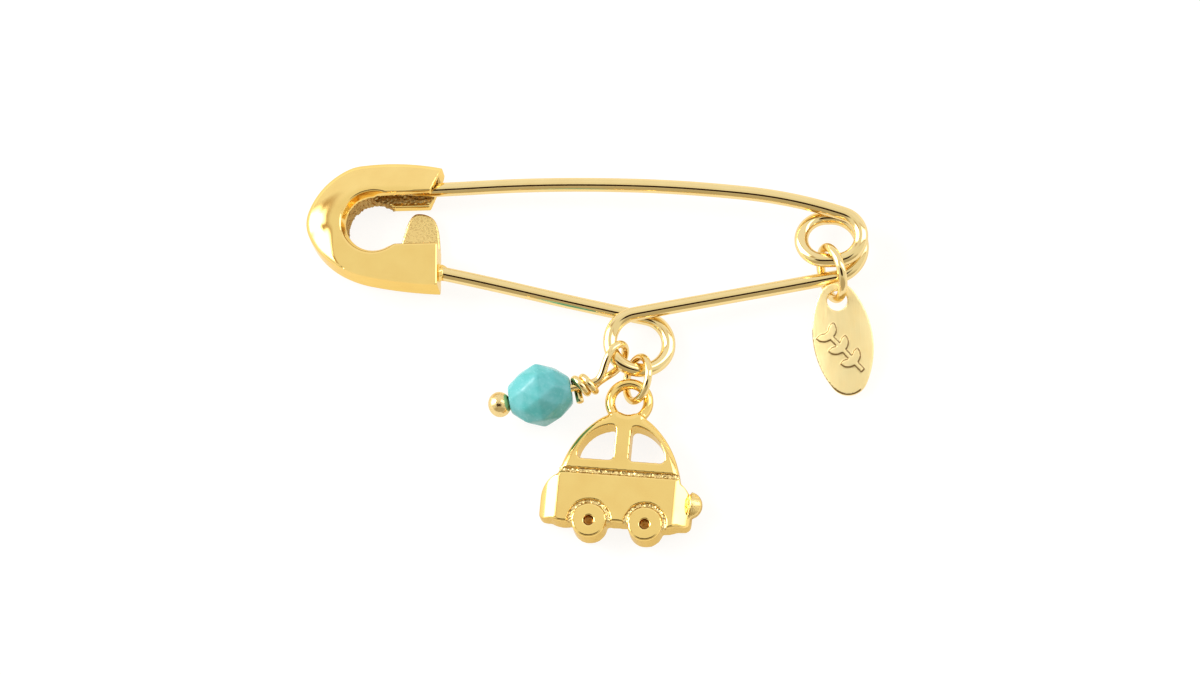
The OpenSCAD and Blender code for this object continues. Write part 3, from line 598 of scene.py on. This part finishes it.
def spring_wire():
    """One length of hard wire, from the ground point through the coil and the middle loop
    to its seat in the cap."""
    plan = [tongue_start]
    for start, heading, (r, turn), steps in ((tongue_start, tongue_heading, NEAR_BEND, 24),
                                             (near_end, far_heading, FAR_BEND, 40)):
        plan += [turned(start, heading, r, turn * i / steps) for i in range(1, steps + 1)]
    plan += [ahead(far_end, tip_heading, TONGUE_STRAIGHT * i / 6) for i in range(1, 7)]
    plan += [ahead(channel_c, tip_heading, POINT_L * i / 8) for i in range(1, 9)]
    reach = tongue_start[0] - channel_c[0]
    tongue = []
    for p in plan:
        share = min(1, max(0, (tongue_start[0] - p[0]) / reach))
        tongue.append((p[0], p[1], COIL_FRONT_Z + (CAP_Z - COIL_FRONT_Z) * eased(share)))
    coil_low, coil_high = COIL_C[1] - COIL_R, COIL_C[1] + COIL_R
    fixed = (
        bend(COIL_C, COIL_R, 90 - TONGUE_SLOPE, -90, COIL_FRONT_Z, COIL_FRONT_Z)
        + straight((COIL_C[0], coil_low), (coil_left[0], coil_low), COIL_FRONT_Z, COIL_FRONT_Z)
        + bend(coil_left, COIL_R, 270, 90, COIL_FRONT_Z, COIL_REAR_Z)
        + straight((coil_left[0], coil_high), (rear_c[0], coil_high), COIL_REAR_Z, COIL_REAR_Z)
        + bend(rear_c, COIL_REAR_R, 90, RIGHT_FALL - 90, COIL_REAR_Z, COIL_REAR_Z)
        + straight(lower_start, loop_start, COIL_REAR_Z, LOOP_FRONT_Z)
        + bend(loop_c, LOOP_R, loop_first, loop_dip, LOOP_FRONT_Z, LOOP_FRONT_Z)
        + bend(loop_c, LOOP_R, loop_dip, loop_dip + 150, LOOP_FRONT_Z, LOOP_REAR_Z)
        + bend(loop_c, LOOP_R, loop_dip + 150, loop_last, LOOP_REAR_Z, LOOP_REAR_Z)
        + straight(loop_end, lower_end, LOOP_REAR_Z, CAP_Z)
        + straight(lower_end, ahead(lower_end, 180 - LEFT_RISE, IN_CAP_L), CAP_Z, CAP_Z)
    )
    path = np.array(tongue[::-1] + fixed)
    along = np.concatenate([[0], np.cumsum(np.linalg.norm(np.diff(path, axis=0), axis=1))])
    radii = np.interp(along, [0, 0.12, POINT_L], [POINT_END_R, POINT_R, WIRE_R])
    wobble = np.array([[noise.noise(Vector((s / WOBBLE_L, k, 3.1))) for k in (0.3, 5.7)]
                       for s in along])
    path[:, :2] += WOBBLE * wobble * (radii / WIRE_R)[:, None]
    return drawn(path, radii, WIRE_SIDES)


# The clasp cap
cap_bottom_y = lower_end[1] + SEAT_DROP - LOWER_ARM_H / 2
cap_top_y = channel_c[1] + WIRE_R + CHANNEL_GAP / 2 + ROOF_T
cap_end_x = lower_end[0]
rim_y = cap_bottom_y + LOWER_ARM_H
hole_c = (cap_end_x - HOLE_IN, rim_y - HOLE_DIP + HOLE_R)
lip_y = channel_c[1] - BACK_LIP


def cap_outline():
    """The cap's outline from the upper arm round to the lower one: its points, the ways out
    of it, and how domed its front is there. The lower arm is nearly flat."""
    found, start, heading = [], (cap_end_x, cap_bottom_y), CAP_FIRST_HEADING
    for n, (turn, share) in enumerate(CAP_ARCS):
        steps = max(3, round(turn / 1.5))
        for i in range(steps + (n == len(CAP_ARCS) - 1)):
            done = turn * i / steps
            h = math.radians(heading - done)
            domed = (DOME_FADE[1] - heading + done) / (DOME_FADE[1] - DOME_FADE[0])
            point = turned(start, heading, -CAP_K * share, -done)
            found.append((*point, -math.sin(h), math.cos(h), eased(min(1, max(0, domed)))))
        start = turned(start, heading, -CAP_K * share, -turn)
        heading -= turn
    return np.array(found[::-1])


def clasp_cap():
    """The cast cap: a domed body with a hole, a channel for the tongue, a guard tab and the
    solder at the wire's end."""
    line = cap_outline()
    domed = line[:, 4]
    high, wide = (low + (full - low) * domed for low, full in zip(EDGE, DOME))
    rings = []
    for a in np.radians(range(0, 91, 15)):
        inset = BACK_ROUND * (1 - math.sin(a))
        rings.append(np.column_stack([line[:, :2] - inset * line[:, 2:4],
                                      np.full(len(line), BACK_ROUND * (1 - math.cos(a)))]))
    for a in np.radians(range(0, 91, 5)):
        inset = (wide * (1 - math.cos(a)))[:, None]
        rings.append(np.column_stack([line[:, :2] - inset * line[:, 2:4],
                                      CAP_T - high * (1 - math.sin(a))]))
    cap = lofted(rings)
    joined_by(cap, prism(disc(hole_c, HOLE_R), -1, CAP_T + 1), "DIFFERENCE")
    flare = lofted([[(x, y, z) for x, y in disc(hole_c, r)]
                    for z, r in ((CAP_T - HOLE_FLARE[1], HOLE_R),
                                 (CAP_T + HOLE_FLARE[1], HOLE_R + 2 * HOLE_FLARE[0]))])
    joined_by(cap, flare, "DIFFERENCE")
    right = cap_end_x + 4
    end_x, end_y = cap_end_x + ARM_REACH, lip_y - CHANNEL_GAP
    gap = [(hole_c[0], rim_y), (right, rim_y), (right, lip_y), (hole_c[0], lip_y)]
    past_lower_arm = [(cap_end_x, cap_bottom_y - 1), (right, cap_bottom_y - 1),
                      (right, rim_y + 0.1), (cap_end_x, rim_y + 0.1)]
    past_upper_arm = [(end_x - ARM_SLANT, end_y), (right, end_y), (right, cap_top_y + 1),
                      (end_x, cap_top_y + 1), (end_x, cap_top_y)]
    for cut in (gap, past_lower_arm, past_upper_arm):
        joined_by(cap, prism(cut, -1, CAP_T + 1), "DIFFERENCE")
    # The channel for the tongue, open below, and the cut that shortens its front wall.
    out = TONGUE_STRAIGHT + 4
    deep = BACK_LIP + 1
    floor_z = CAP_Z - WIRE_R - CHANNEL_GAP
    lie = Matrix.Rotation(math.radians(tip_heading - 180), 2)
    for x, top, high in ((-POINT_L - CHANNEL_GAP, WIRE_R + CHANNEL_GAP / 2,
                          CAP_Z + WIRE_R + CHANNEL_GAP),
                         (-POINT_L, -FRONT_LIP, CAP_T + 1)):
        plan = [Vector(channel_c) + lie @ Vector(p)
                for p in ((x, -deep), (out, -deep), (out, top), (x, top))]
        joined_by(cap, prism(plan, floor_z, high), "DIFFERENCE")
    tab = softened(softened(softened([np.array((cap_end_x + x, rim_y + y)) for x, y in TAB])))
    joined_by(cap, prism(tab[::-1], 0, TAB_T), "UNION")
    bpy.ops.mesh.primitive_ico_sphere_add(subdivisions=4, radius=SOLDER_R, location=(0, 0, 0))
    blob = bpy.context.object
    blob.data.transform(Matrix.Translation((lower_end[0], lower_end[1], CAP_Z)))
    roughened(blob, np.ones(len(blob.data.vertices)), *SOLDER_GRAIN)
    joined_by(cap, blob, "UNION")
    modified(cap, "REMESH", mode="VOXEL", voxel_size=CAP_VOXEL)
    edge = kdtree.KDTree(len(line))
    for n, p in enumerate(line):
        edge.insert((p[0], p[1], 0), n)
    edge.balance()

    def at_arm_edge(co):
        """Which points are by the front edge of the lower arm, where the dome has run out."""
        found = (np.abs(co[:, 2] - CAP_T) < 0.25) & (co[:, 0] < cap_end_x - 0.2)
        for i in np.nonzero(found)[0]:
            n, off = edge.find((co[i, 0], co[i, 1], 0))[1:]
            found[i] = domed[n] < NO_DOME and off < ARM_EDGE_REACH
        return found

    co = corners(cap)
    co[at_arm_edge(co) & (co[:, 2] > CAP_T - 0.12), 2] = CAP_T
    cap.data.vertices.foreach_set("co", co.ravel())
    modified(cap, "WELD", merge_threshold=CAP_WELD)
    crisp = at_arm_edge(corners(cap))
    smoothed(cap, CAP_SMOOTH, np.where(crisp, 0.0, 1.0))
    co = corners(cap)
    rim = (co[:, 1] > lip_y - 0.35) & (co[:, 1] < lip_y + 0.6) & (co[:, 0] > hole_c[0] - 1)
    rim &= (co[:, 2] > CAP_T - 0.5) | (co[:, 2] < CAP_Z - WIRE_R)
    smoothed(cap, RIM_SMOOTH, np.where(rim, 1.0, 0.0))
    co = corners(cap)
    # Bare casting shows in the channel, round the back of the hole's wall and on the tab.
    side = np.hypot(co[:, 0] - hole_c[0], co[:, 1] - hole_c[1])
    in_hole = np.clip((HOLE_R + 0.12 - side) / 0.1, 0, 1)
    in_hole = in_hole * (co[:, 2] < CAP_T - 0.9) * (co[:, 1] > hole_c[1] - 0.6)
    slope = math.tan(math.radians(tip_heading - 180))
    from_wire = (co[:, 1] - channel_c[1]) - (co[:, 0] - channel_c[0]) * slope
    in_channel = ((np.abs(co[:, 2] - CAP_Z) < WIRE_R + CHANNEL_GAP + 0.05)
                  & (np.abs(from_wire) < WIRE_R + 0.25)
                  & (co[:, 0] > tip_end[0] - 0.4) & (co[:, 1] > lip_y + 0.35))
    bare = np.clip(in_hole + in_channel, 0, 1)
    roughened(cap, bare, *CAP_GRAIN)
    on_tab = ((co[:, 1] > rim_y + 0.15) & (co[:, 1] < lip_y - 0.2)
              & (co[:, 0] > hole_c[0] + HOLE_R) & (co[:, 2] < 1))
    mark(cap, "cast", np.clip(bare + 0.6 * on_tab, 0, 1))
    # Painted shade darkens the channel in a toothed pattern, and the hole's wall.
    teeth = 0.5 + 0.5 * np.sin(2 * math.pi * (co[:, 0] + 0.4 * co[:, 1]) / TOOTH)
    mark(cap, "painted_shade", np.clip(0.3 * in_channel * teeth + 0.5 * in_hole, 0, 1))
    cap.data.set_sharp_from_angle(angle=math.radians(SHARP))
    crisp = at_arm_edge(co)
    for e in cap.data.edges:
        e.use_edge_sharp = bool(e.use_edge_sharp and all(crisp[v] for v in e.vertices))
    return cap


def link(c, r, wire, lean, turn):
    """A round link with the fine slit where it was opened and closed."""
    angles = np.radians(np.linspace(180 - LINK_SLIT / 2, LINK_SLIT / 2 - 180, 97))
    path = np.stack([r * np.cos(angles), r * np.sin(angles), 0 * angles], 1)
    pose = (Matrix.Translation(c) @ Matrix.Rotation(math.radians(turn), 4, "Z")
            @ Matrix.Rotation(math.radians(-lean), 4, "Y"))
    ring = drawn(path, [wire / 2] * len(path), LINK_SIDES)
    ring.data.transform(pose)
    return ring


def oval_tag():
    """The stamped tag: its front is a little domed, so that its sides fall away."""
    tag = modified(cad_copy("tag"), "REMESH", mode="VOXEL", voxel_size=TAG_VOXEL)
    smoothed(tag, TAG_SMOOTH[0])
    lie = np.array(Matrix.Rotation(math.radians(TAG_TURN), 3, "Z")
                   @ Matrix.Rotation(math.radians(TAG_TIP), 3, "X"))
    flat = (corners(tag) - np.array(TAG_HOLE)) @ lie
    across = flat[:, 0] / (TAG_W / 2)
    along = (flat[:, 1] + TAG_UP - TAG_L / 2) / (TAG_L / 2)
    outward = np.hypot(across, along)
    front = np.clip(flat[:, 2] / TAG_T, 0, None)
    flat[:, 2] -= front * TAG_DOME * across ** 2
    rim = (outward > TAG_RIM) | (np.hypot(flat[:, 0], flat[:, 1]) < TAG_HOLE_R + 0.15)
    tag.data.vertices.foreach_set("co", (flat @ lie.T + np.array(TAG_HOLE)).ravel())
    tag.data.update()
    # Painted shade lies along the sprig's walls and in the edge that faces down and left.
    facing = (normals(tag) @ lie)[:, 2]
    wall = np.clip((0.97 - facing) / 0.1, 0, 1) * (front > 0.9) * ~rim
    painted_dark_edge = ((outward > 0.97) & (front > 0.75) & (along < 0.25) & (across < 0.35)
                & (facing > 0.3))
    mark(tag, "painted_shade", 0.9 * wall + 0.9 * painted_dark_edge)
    return smoothed(tag, TAG_SMOOTH[1], np.where(outward > 0.9, 1.0, 0.0))


def car():
    """The cast car: its outline softly rounded, its bail a round ring, and bare casting left
    in its grooves, hubs and windows."""
    body = modified(cad_copy("car_charm"), "REMESH", mode="VOXEL", voxel_size=CAR_VOXEL)
    lie = np.array(Matrix.Rotation(math.radians(-CAR_TURN), 2))

    def places():
        """Where the points are on the car, and how far from a wheel's and a window's middle."""
        co = corners(body)
        flat = (co[:, :2] - np.array(CAR_AT)) @ lie.T
        wheel = np.hypot(np.abs(flat[:, 0]) - WHEEL_BASE / 2, flat[:, 1])
        beside = np.abs(flat[:, 0] + ROOF_SHIFT) - WINDOW[0]
        window = np.where((beside > -0.3) & (flat[:, 1] > WINDOW[1] - 0.3),
                          np.hypot(beside, flat[:, 1] - WINDOW[1]), 9)
        return co, flat, co[:, 2], wheel, window

    # The bail's square section becomes round, clear of the roof.
    co, flat, z, wheel, window = places()
    out = np.array([flat[:, 0], flat[:, 1] - BAIL_Y])
    ring = np.hypot(*out)
    middle, half = sum(BAIL_R) / 2, (BAIL_R[1] - BAIL_R[0]) / 2
    bail_z, bail_t = sum(BAIL_Z) / 2, BAIL_Z[1] - BAIL_Z[0]
    a, b = (ring - middle) / half, (z - bail_z) / bail_t * 2
    square = np.maximum(np.abs(a), np.abs(b))
    from_roof = np.hypot(flat[:, 0] + ROOF_SHIFT, flat[:, 1] - ROOF_TOP[0]) - ROOF_TOP[1]
    clear = np.clip(from_roof / 0.3, 0, 1) * (square < 1.3)
    share = 1 - clear * (1 - square / np.maximum(np.hypot(a, b), 0.01))
    grown = (middle + a * share * half) / np.maximum(ring, 0.01)
    bail = np.column_stack([out[0] * grown, BAIL_Y + out[1] * grown]) @ lie + np.array(CAR_AT)
    co[:, :2] = np.where(clear[:, None] > 0, bail, co[:, :2])
    co[:, 2] = np.where(clear > 0, bail_z + b * share * bail_t / 2, z)
    body.data.vertices.foreach_set("co", co.ravel())

    # The front edge is rounded by how far it is from the side wall, and more on the roof.
    wall = (np.abs(normals(body)[:, 2]) < 0.3) & (clear == 0)
    wall &= (window > WINDOW[2] + 0.15) & (wheel > HUB_R + 0.3)
    wall &= (z > CAR_T / 2 - 0.2) & (z < CAR_T / 2 + 0.2)
    wall &= ((flat[:, 0] < BODY_ENDS[1] - 0.1)
             | (flat[:, 1] < LAMP_SPAN[0]) | (flat[:, 1] > LAMP_SPAN[1]))
    rim = kdtree.KDTree(int(wall.sum()))
    for n, p in enumerate(flat[wall]):
        rim.insert((p[0], p[1], 0), n)
    rim.balance()
    front = np.nonzero((z > CAR_T / 2 + 0.3) & (clear == 0))[0]
    inset = np.array([rim.find((flat[i, 0], flat[i, 1], 0))[2] for i in front])
    r = np.where(flat[front, 1] > BODY_H + BELT_W, ROUND[0], ROUND[1])
    dip = r - np.sqrt(np.clip(r ** 2 - np.clip(r - inset, 0, r) ** 2, 0, None))
    co = corners(body)
    co[front, 2] = np.minimum(co[front, 2], CAR_T - dip)

    # The body's ends fall away evenly, and the grooves and hubs stay shallow.
    lower = (flat[:, 1] < BODY_H + BELT_W / 2) & (wheel > WHEEL_R + ARCH_W / 2)
    inside = np.clip(np.minimum(flat[:, 0] - BODY_ENDS[0], BODY_ENDS[1] - flat[:, 0]), 0, None)
    level = CAR_T - END_R + np.sqrt(END_R ** 2 - np.clip(END_R - inside, 0, END_R) ** 2)
    on_end = lower & (z > CAR_T / 2) & (inside > 0.2)
    co[on_end, 2] = np.minimum(co[on_end, 2], level[on_end])
    sweep = END_SWEEP[1] * np.clip(END_SWEEP[0] - inside, 0, None) ** 2
    co[:, 2] -= sweep * lower * np.clip(2 * z / CAR_T - 1, 0, 1)
    off_belt = np.abs(flat[:, 1] - BODY_H - BELT_W / 2)
    groove = (off_belt < BELT_W / 2 + 0.1) | (wheel < WHEEL_R + ARCH_W + 0.1)
    groove &= z > CAR_T / 2
    depth = np.where(wheel[groove] < HUB_R + 0.2, *GROOVE)
    co[groove, 2] = np.maximum(co[groove, 2], CAR_T - depth)
    body.data.vertices.foreach_set("co", co.ravel())
    modified(body, "REMESH", mode="VOXEL", voxel_size=CAR_VOXEL)
    co, flat, z, wheel, window = places()
    off_belt = np.abs(flat[:, 1] - BODY_H - BELT_W / 2)
    by_wheel = (wheel < WHEEL_R + ARCH_W + 0.2) & (z > CAR_T - 0.9)
    by_belt = (off_belt < BELT_W / 2 + 0.15) & (z > CAR_T - 0.6)
    smoothed(body, CAR_SMOOTH[0], np.where(by_belt | by_wheel, 0.0, 1.0))
    smoothed(body, CAR_SMOOTH[1])

    # Bare casting shows in the arches, the belt and the hubs, and a little on the side walls.
    co, flat, z, wheel, window = places()
    low = (z < CAR_T - 0.07) & (z > CAR_T - 0.5)
    belt = (flat[:, 1] - BODY_H) / BELT_W
    in_arch = (np.abs(wheel - WHEEL_R - ARCH_W / 2) < ARCH_W / 2) & low
    in_hub = (wheel < HUB_R + 0.05) & (z < CAR_T - 0.07)
    in_belt = (belt > 0) & (belt < 1) & low
    bare = np.clip(1.0 * in_arch + in_belt, 0, 1)
    roughened(body, bare, *CAR_GRAIN)
    side = (np.abs(normals(body)[:, 2]) < 0.45) & (z < CAR_T - 0.15) & (bare < 0.1)
    by_lamp = ((flat[:, 0] > BODY_ENDS[1] - 0.15)
               & (flat[:, 1] > LAMP_SPAN[0] + 0.1) & (flat[:, 1] < LAMP_SPAN[1] + 0.1))
    mark(body, "cast", np.clip(0.8 * bare + 0.3 * side + 0.5 * in_hub + 0.5 * by_lamp, 0, 1))
    # Painted shade darkens the hubs, the outer edges of the arches and the belt, and a little of the side
    # walls.
    edge = (in_arch & (wheel > WHEEL_R + 0.85 * ARCH_W)) | (in_belt & (belt > 0.85))
    mark(body, "painted_shade", np.clip(0.9 * in_hub + 0.5 * edge + 0.25 * side, 0, 1))
    return body


def faceted_bead():
    """The faceted bead, with its edges melted round in the fire."""
    bead = modified(cad_copy("bead"), "REMESH", mode="VOXEL", voxel_size=BEAD_VOXEL)
    smoothed(bead, BEAD_SMOOTH)
    sit = Matrix.Translation(BEAD_C)
    tilt = Matrix.Rotation(math.radians(-BEAD_TILT), 4, "Z")
    bead.data.transform(sit @ tilt @ sit.inverted())
    return bead


def eye_pin():
    """The bead's pin: a ball, a straight stem, an open eye and the wraps with their cut tail."""
    s, h, l = (math.radians(a) for a in (BEAD_SLOPE, EYE_HEADING, EYE_LEAN))
    stem = np.array((math.cos(s), math.sin(s), 0))
    side = np.array((-math.sin(s), math.cos(s), 0))
    up = np.array((0, 0, 1.0))
    eye = np.array((math.cos(h), math.sin(h), 0))
    eye_side = np.array((-math.sin(h) * math.cos(l), math.cos(h) * math.cos(l), math.sin(l)))
    half = (EYE_L - EYE_WIRE) / 2
    first = (BEAD_L + EYE_WIRE) / 2 + 0.16
    last = first + WRAPS * WRAP_STEP
    ball_seat = math.sqrt(BALL_D ** 2 - BEAD_HOLE ** 2) / 2 + 0.04

    def eye_point(far, across):
        """A point on the eye, by shares of its straight part and of its width."""
        return EYE_C + far * (half - EYE_W / 2) * eye + across * EYE_W / 2 * eye_side

    def wrap_point(along, turn):
        """A point on a wrap round the stem, which leans a little."""
        t = math.radians(turn)
        lean = along - WRAP_LEAN * WRAP_STEP * math.sin(t)
        return BEAD_C + lean * stem + WRAP_STEP * (math.sin(t) * side - math.cos(t) * up)

    knots = [BEAD_C + first * stem, EYE_FOOT - EYE_WIRE * stem, EYE_FOOT + 0.5 * EYE_WIRE * eye,
             eye_point(-0.6, 1), eye_point(1, 1)]
    eye_end = EYE_C + (half - EYE_W / 2) * eye
    knots += [eye_end + EYE_W / 2 * (math.cos(a) * eye_side + math.sin(a) * eye)
              for a in np.radians(range(20, 161, 20))]
    knots += [eye_point(1, -1), eye_point(-0.8, -1),
              wrap_point(last + EYE_WIRE, 20), wrap_point(last, -10)]
    start = BEAD_C - (BEAD_L / 2 + ball_seat) * stem
    tail = wrap_point(first, 0)
    path = [start] + softened(softened(softened(knots)))
    path += [wrap_point(last - WRAP_STEP * a / 360, -a)
             for a in range(12, 360 * WRAPS + 1, 12)]
    path += [tail - l * side for l in (0.25 * EYE_WIRE, 0.5 * EYE_WIRE, TAIL_L)]
    path, radii = blunt(path, EYE_WIRE / 2)
    pin = drawn(path, radii, EYE_SIDES)
    bpy.ops.mesh.primitive_uv_sphere_add(segments=48, ring_count=24, radius=BALL_D / 2)
    ball = bpy.context.object
    ball.data.transform(Matrix.Translation(start + 0.1 * stem) @ Matrix.Scale(0.9, 4, stem))
    joined_by(pin, ball, "UNION")
    mark(pin, "cast", 0.3 * (np.linalg.norm(corners(pin) - start, axis=1) < BALL_D * 0.6))
    return pin


# The spring wire bends across the hinge, from the coil's lower half to the tongue's start.
wire = piece(spring_wire(), "spring_wire", WIRE_GOLD,
             ["pin_frame", "pin_tongue"], body=None)
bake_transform(wire, "frame", "tongue", start=(COIL_C[0] * MM, 7.2 * MM, 0), end=(COIL_C[0] * MM, 10.2 * MM, 0))
piece(clasp_cap(), "clasp_cap", GOLD, ["pin_frame"])
piece(link(**TAG_LINK), "tag_link", WIRE_GOLD, ["tag_ring"])
piece(link(**CAR_LINK), "car_link", WIRE_GOLD, ["car_ring"])
piece(oval_tag(), "oval_tag", SATIN, ["tag"])
piece(car(), "cast_car", GOLD, ["car_charm"])
piece(faceted_bead(), "faceted_bead", GLASS, ["bead"])
piece(eye_pin(), "eye_pin", WIRE_GOLD, ["bead_pin"])


# The floor, the camera and the light tent
def pale_floor():
    """A pale painted board, lit from below so that it stays nearly white."""
    material, tree, shader = new_material("pale_board")
    place = add(tree, "ShaderNodeTexCoord").outputs["Object"]
    grain = add(tree, "ShaderNodeTexNoise", {"Scale": 400.0, "Detail": 2.0}, {"Vector": place})
    colour = add(tree, "ShaderNodeMix",
                 {"data_type": "RGBA", 6: linear("#5F5E5D"), 7: linear("#656463")},
                 {0: grain.outputs["Fac"]})
    tree.links.new(colour.outputs[2], shader.inputs["Base Color"])
    shader.inputs["Roughness"].default_value = 0.85
    shader.inputs["Emission Color"].default_value = linear("#FFFDFA")
    shader.inputs["Emission Strength"].default_value = 0.9
    plan = [(x * FLOOR_REACH, y * FLOOR_REACH) for x, y in ((-1, -1), (1, -1), (1, 1), (-1, 1))]
    board = prism(plan, -FLOOR_T, -FLOOR_GAP)
    board.data.transform(Matrix.Scale(MM, 4))
    board.name = "floor"
    board.data.materials.append(material)


def camera():
    """A long lens at the photograph's angle, which frames FRAMED_W across."""
    data = bpy.data.cameras.new("camera")
    data.sensor_width = SENSOR
    data.lens = SENSOR * CAMERA_FAR / FRAMED_W
    right, up, back = CAMERA_SHIFT
    target = right * VIEW_RIGHT + up * VIEW_UP + back * VIEW_BACK - MODEL_SHIFT
    obj = bpy.data.objects.new("camera", data)
    turn = Matrix((VIEW_RIGHT, VIEW_UP, VIEW_BACK)).transposed().to_4x4()
    obj.matrix_world = Matrix.Translation((target + CAMERA_FAR * VIEW_BACK) * MM) @ turn
    bpy.context.scene.collection.objects.link(obj)
    bpy.context.scene.camera = obj


def softbox(name, way, far, size, power):
    """An area light that faces the brooch from the direction way."""
    data = bpy.data.lights.new(name, "AREA")
    data.shape = "RECTANGLE"
    data.size, data.size_y = (s * MM for s in size)
    data.energy = power
    obj = bpy.data.objects.new(name, data)
    way = Vector(way).normalized()
    turn = way.to_track_quat("Z", "Y").to_matrix().to_4x4()
    obj.matrix_world = Matrix.Translation(way * far * MM) @ turn
    bpy.context.scene.collection.objects.link(obj)


def light_tent():
    """A white tent with a dark gap round the camera and a bright window at each side."""
    world = bpy.data.worlds.new("light_tent")
    bpy.context.scene.world = world
    world.use_nodes = True
    tree = world.node_tree
    tree.nodes.clear()
    way = add(tree, "ShaderNodeTexCoord").outputs["Generated"]
    # Columns: direction, half widths, soft edge, colour, level.
    places = [
        ((0.0, 0.95, 0.3), (4.0, 0.6, 4.0), 0.35, "#FBFCFF", 1.03),
        ((0.0, -0.95, 0.3), (4.0, 0.5, 0.75), 0.7, "#EFE4CC", 0.62),
        ((-0.87, 0.27, 0.45), (0.62, 0.38, 0.78), 0.5, "#C9A878", 0.8),
        ((-0.82, 0.33, 0.5), (0.46, 0.19, 0.7), 0.7, "#F4F8FF", 4.6),
        ((-0.9, 0.25, 0.4), (0.36, 0.37, 0.7), 0.5, "#F4F8FF", 4.6),
        ((0.8, 0.28, 0.5), (0.66, 0.26, 0.75), 0.4, "#C9A878", 0.8),
        ((0.8, 0.28, 0.5), (0.62, 0.22, 0.72), 0.7, "#EAF1FF", 3.4),
        ((-0.06, -0.345, 0.956), (0.5, 0.25, 0.5), 0.4, "#4A2E0C", 0.5),
    ]
    tent = None
    for direction, halves, soft, colour, level in places:
        middle = tuple(Vector(direction).normalized())
        off = add(tree, "ShaderNodeVectorMath", {"operation": "SUBTRACT", 1: middle}, {0: way})
        sized = add(tree, "ShaderNodeVectorMath", {"operation": "DIVIDE", 1: halves},
                    {0: off.outputs[0]})
        squared = add(tree, "ShaderNodeVectorMath", {"operation": "MULTIPLY"},
                      {0: sized.outputs[0], 1: sized.outputs[0]})
        length = add(tree, "ShaderNodeVectorMath", {"operation": "LENGTH"}, {0: squared.outputs[0]})
        share = add(tree, "ShaderNodeMapRange",
                    {"interpolation_type": "SMOOTHSTEP", "From Min": 1 - soft, "From Max": 1.0,
                     "To Min": 1.0, "To Max": 0.0}, {"Value": length.outputs["Value"]})
        lit = [level * v for v in linear(colour)[:3]] + [1.0]
        links = {0: share.outputs[0]}
        if tent:
            links[6] = tent.outputs[2]
        tent = add(tree, "ShaderNodeMix",
                   {"data_type": "RGBA", 6: linear("#F5F5EF"), 7: lit}, links)
    glow = add(tree, "ShaderNodeBackground", {"Strength": 1.0}, {"Color": tent.outputs[2]})
    plain = add(tree, "ShaderNodeBackground", {"Strength": 1.0, "Color": linear("#FBFAF9")})
    seen = add(tree, "ShaderNodeLightPath").outputs["Is Camera Ray"]
    both = add(tree, "ShaderNodeMixShader", {}, {0: seen, 1: glow.outputs[0], 2: plain.outputs[0]})
    add(tree, "ShaderNodeOutputWorld", {}, {"Surface": both.outputs[0]})


pale_floor()
camera()
light_tent()
softbox("left_box", (-0.75, 0.28, 0.6), 300, (120, 100), 0.4)
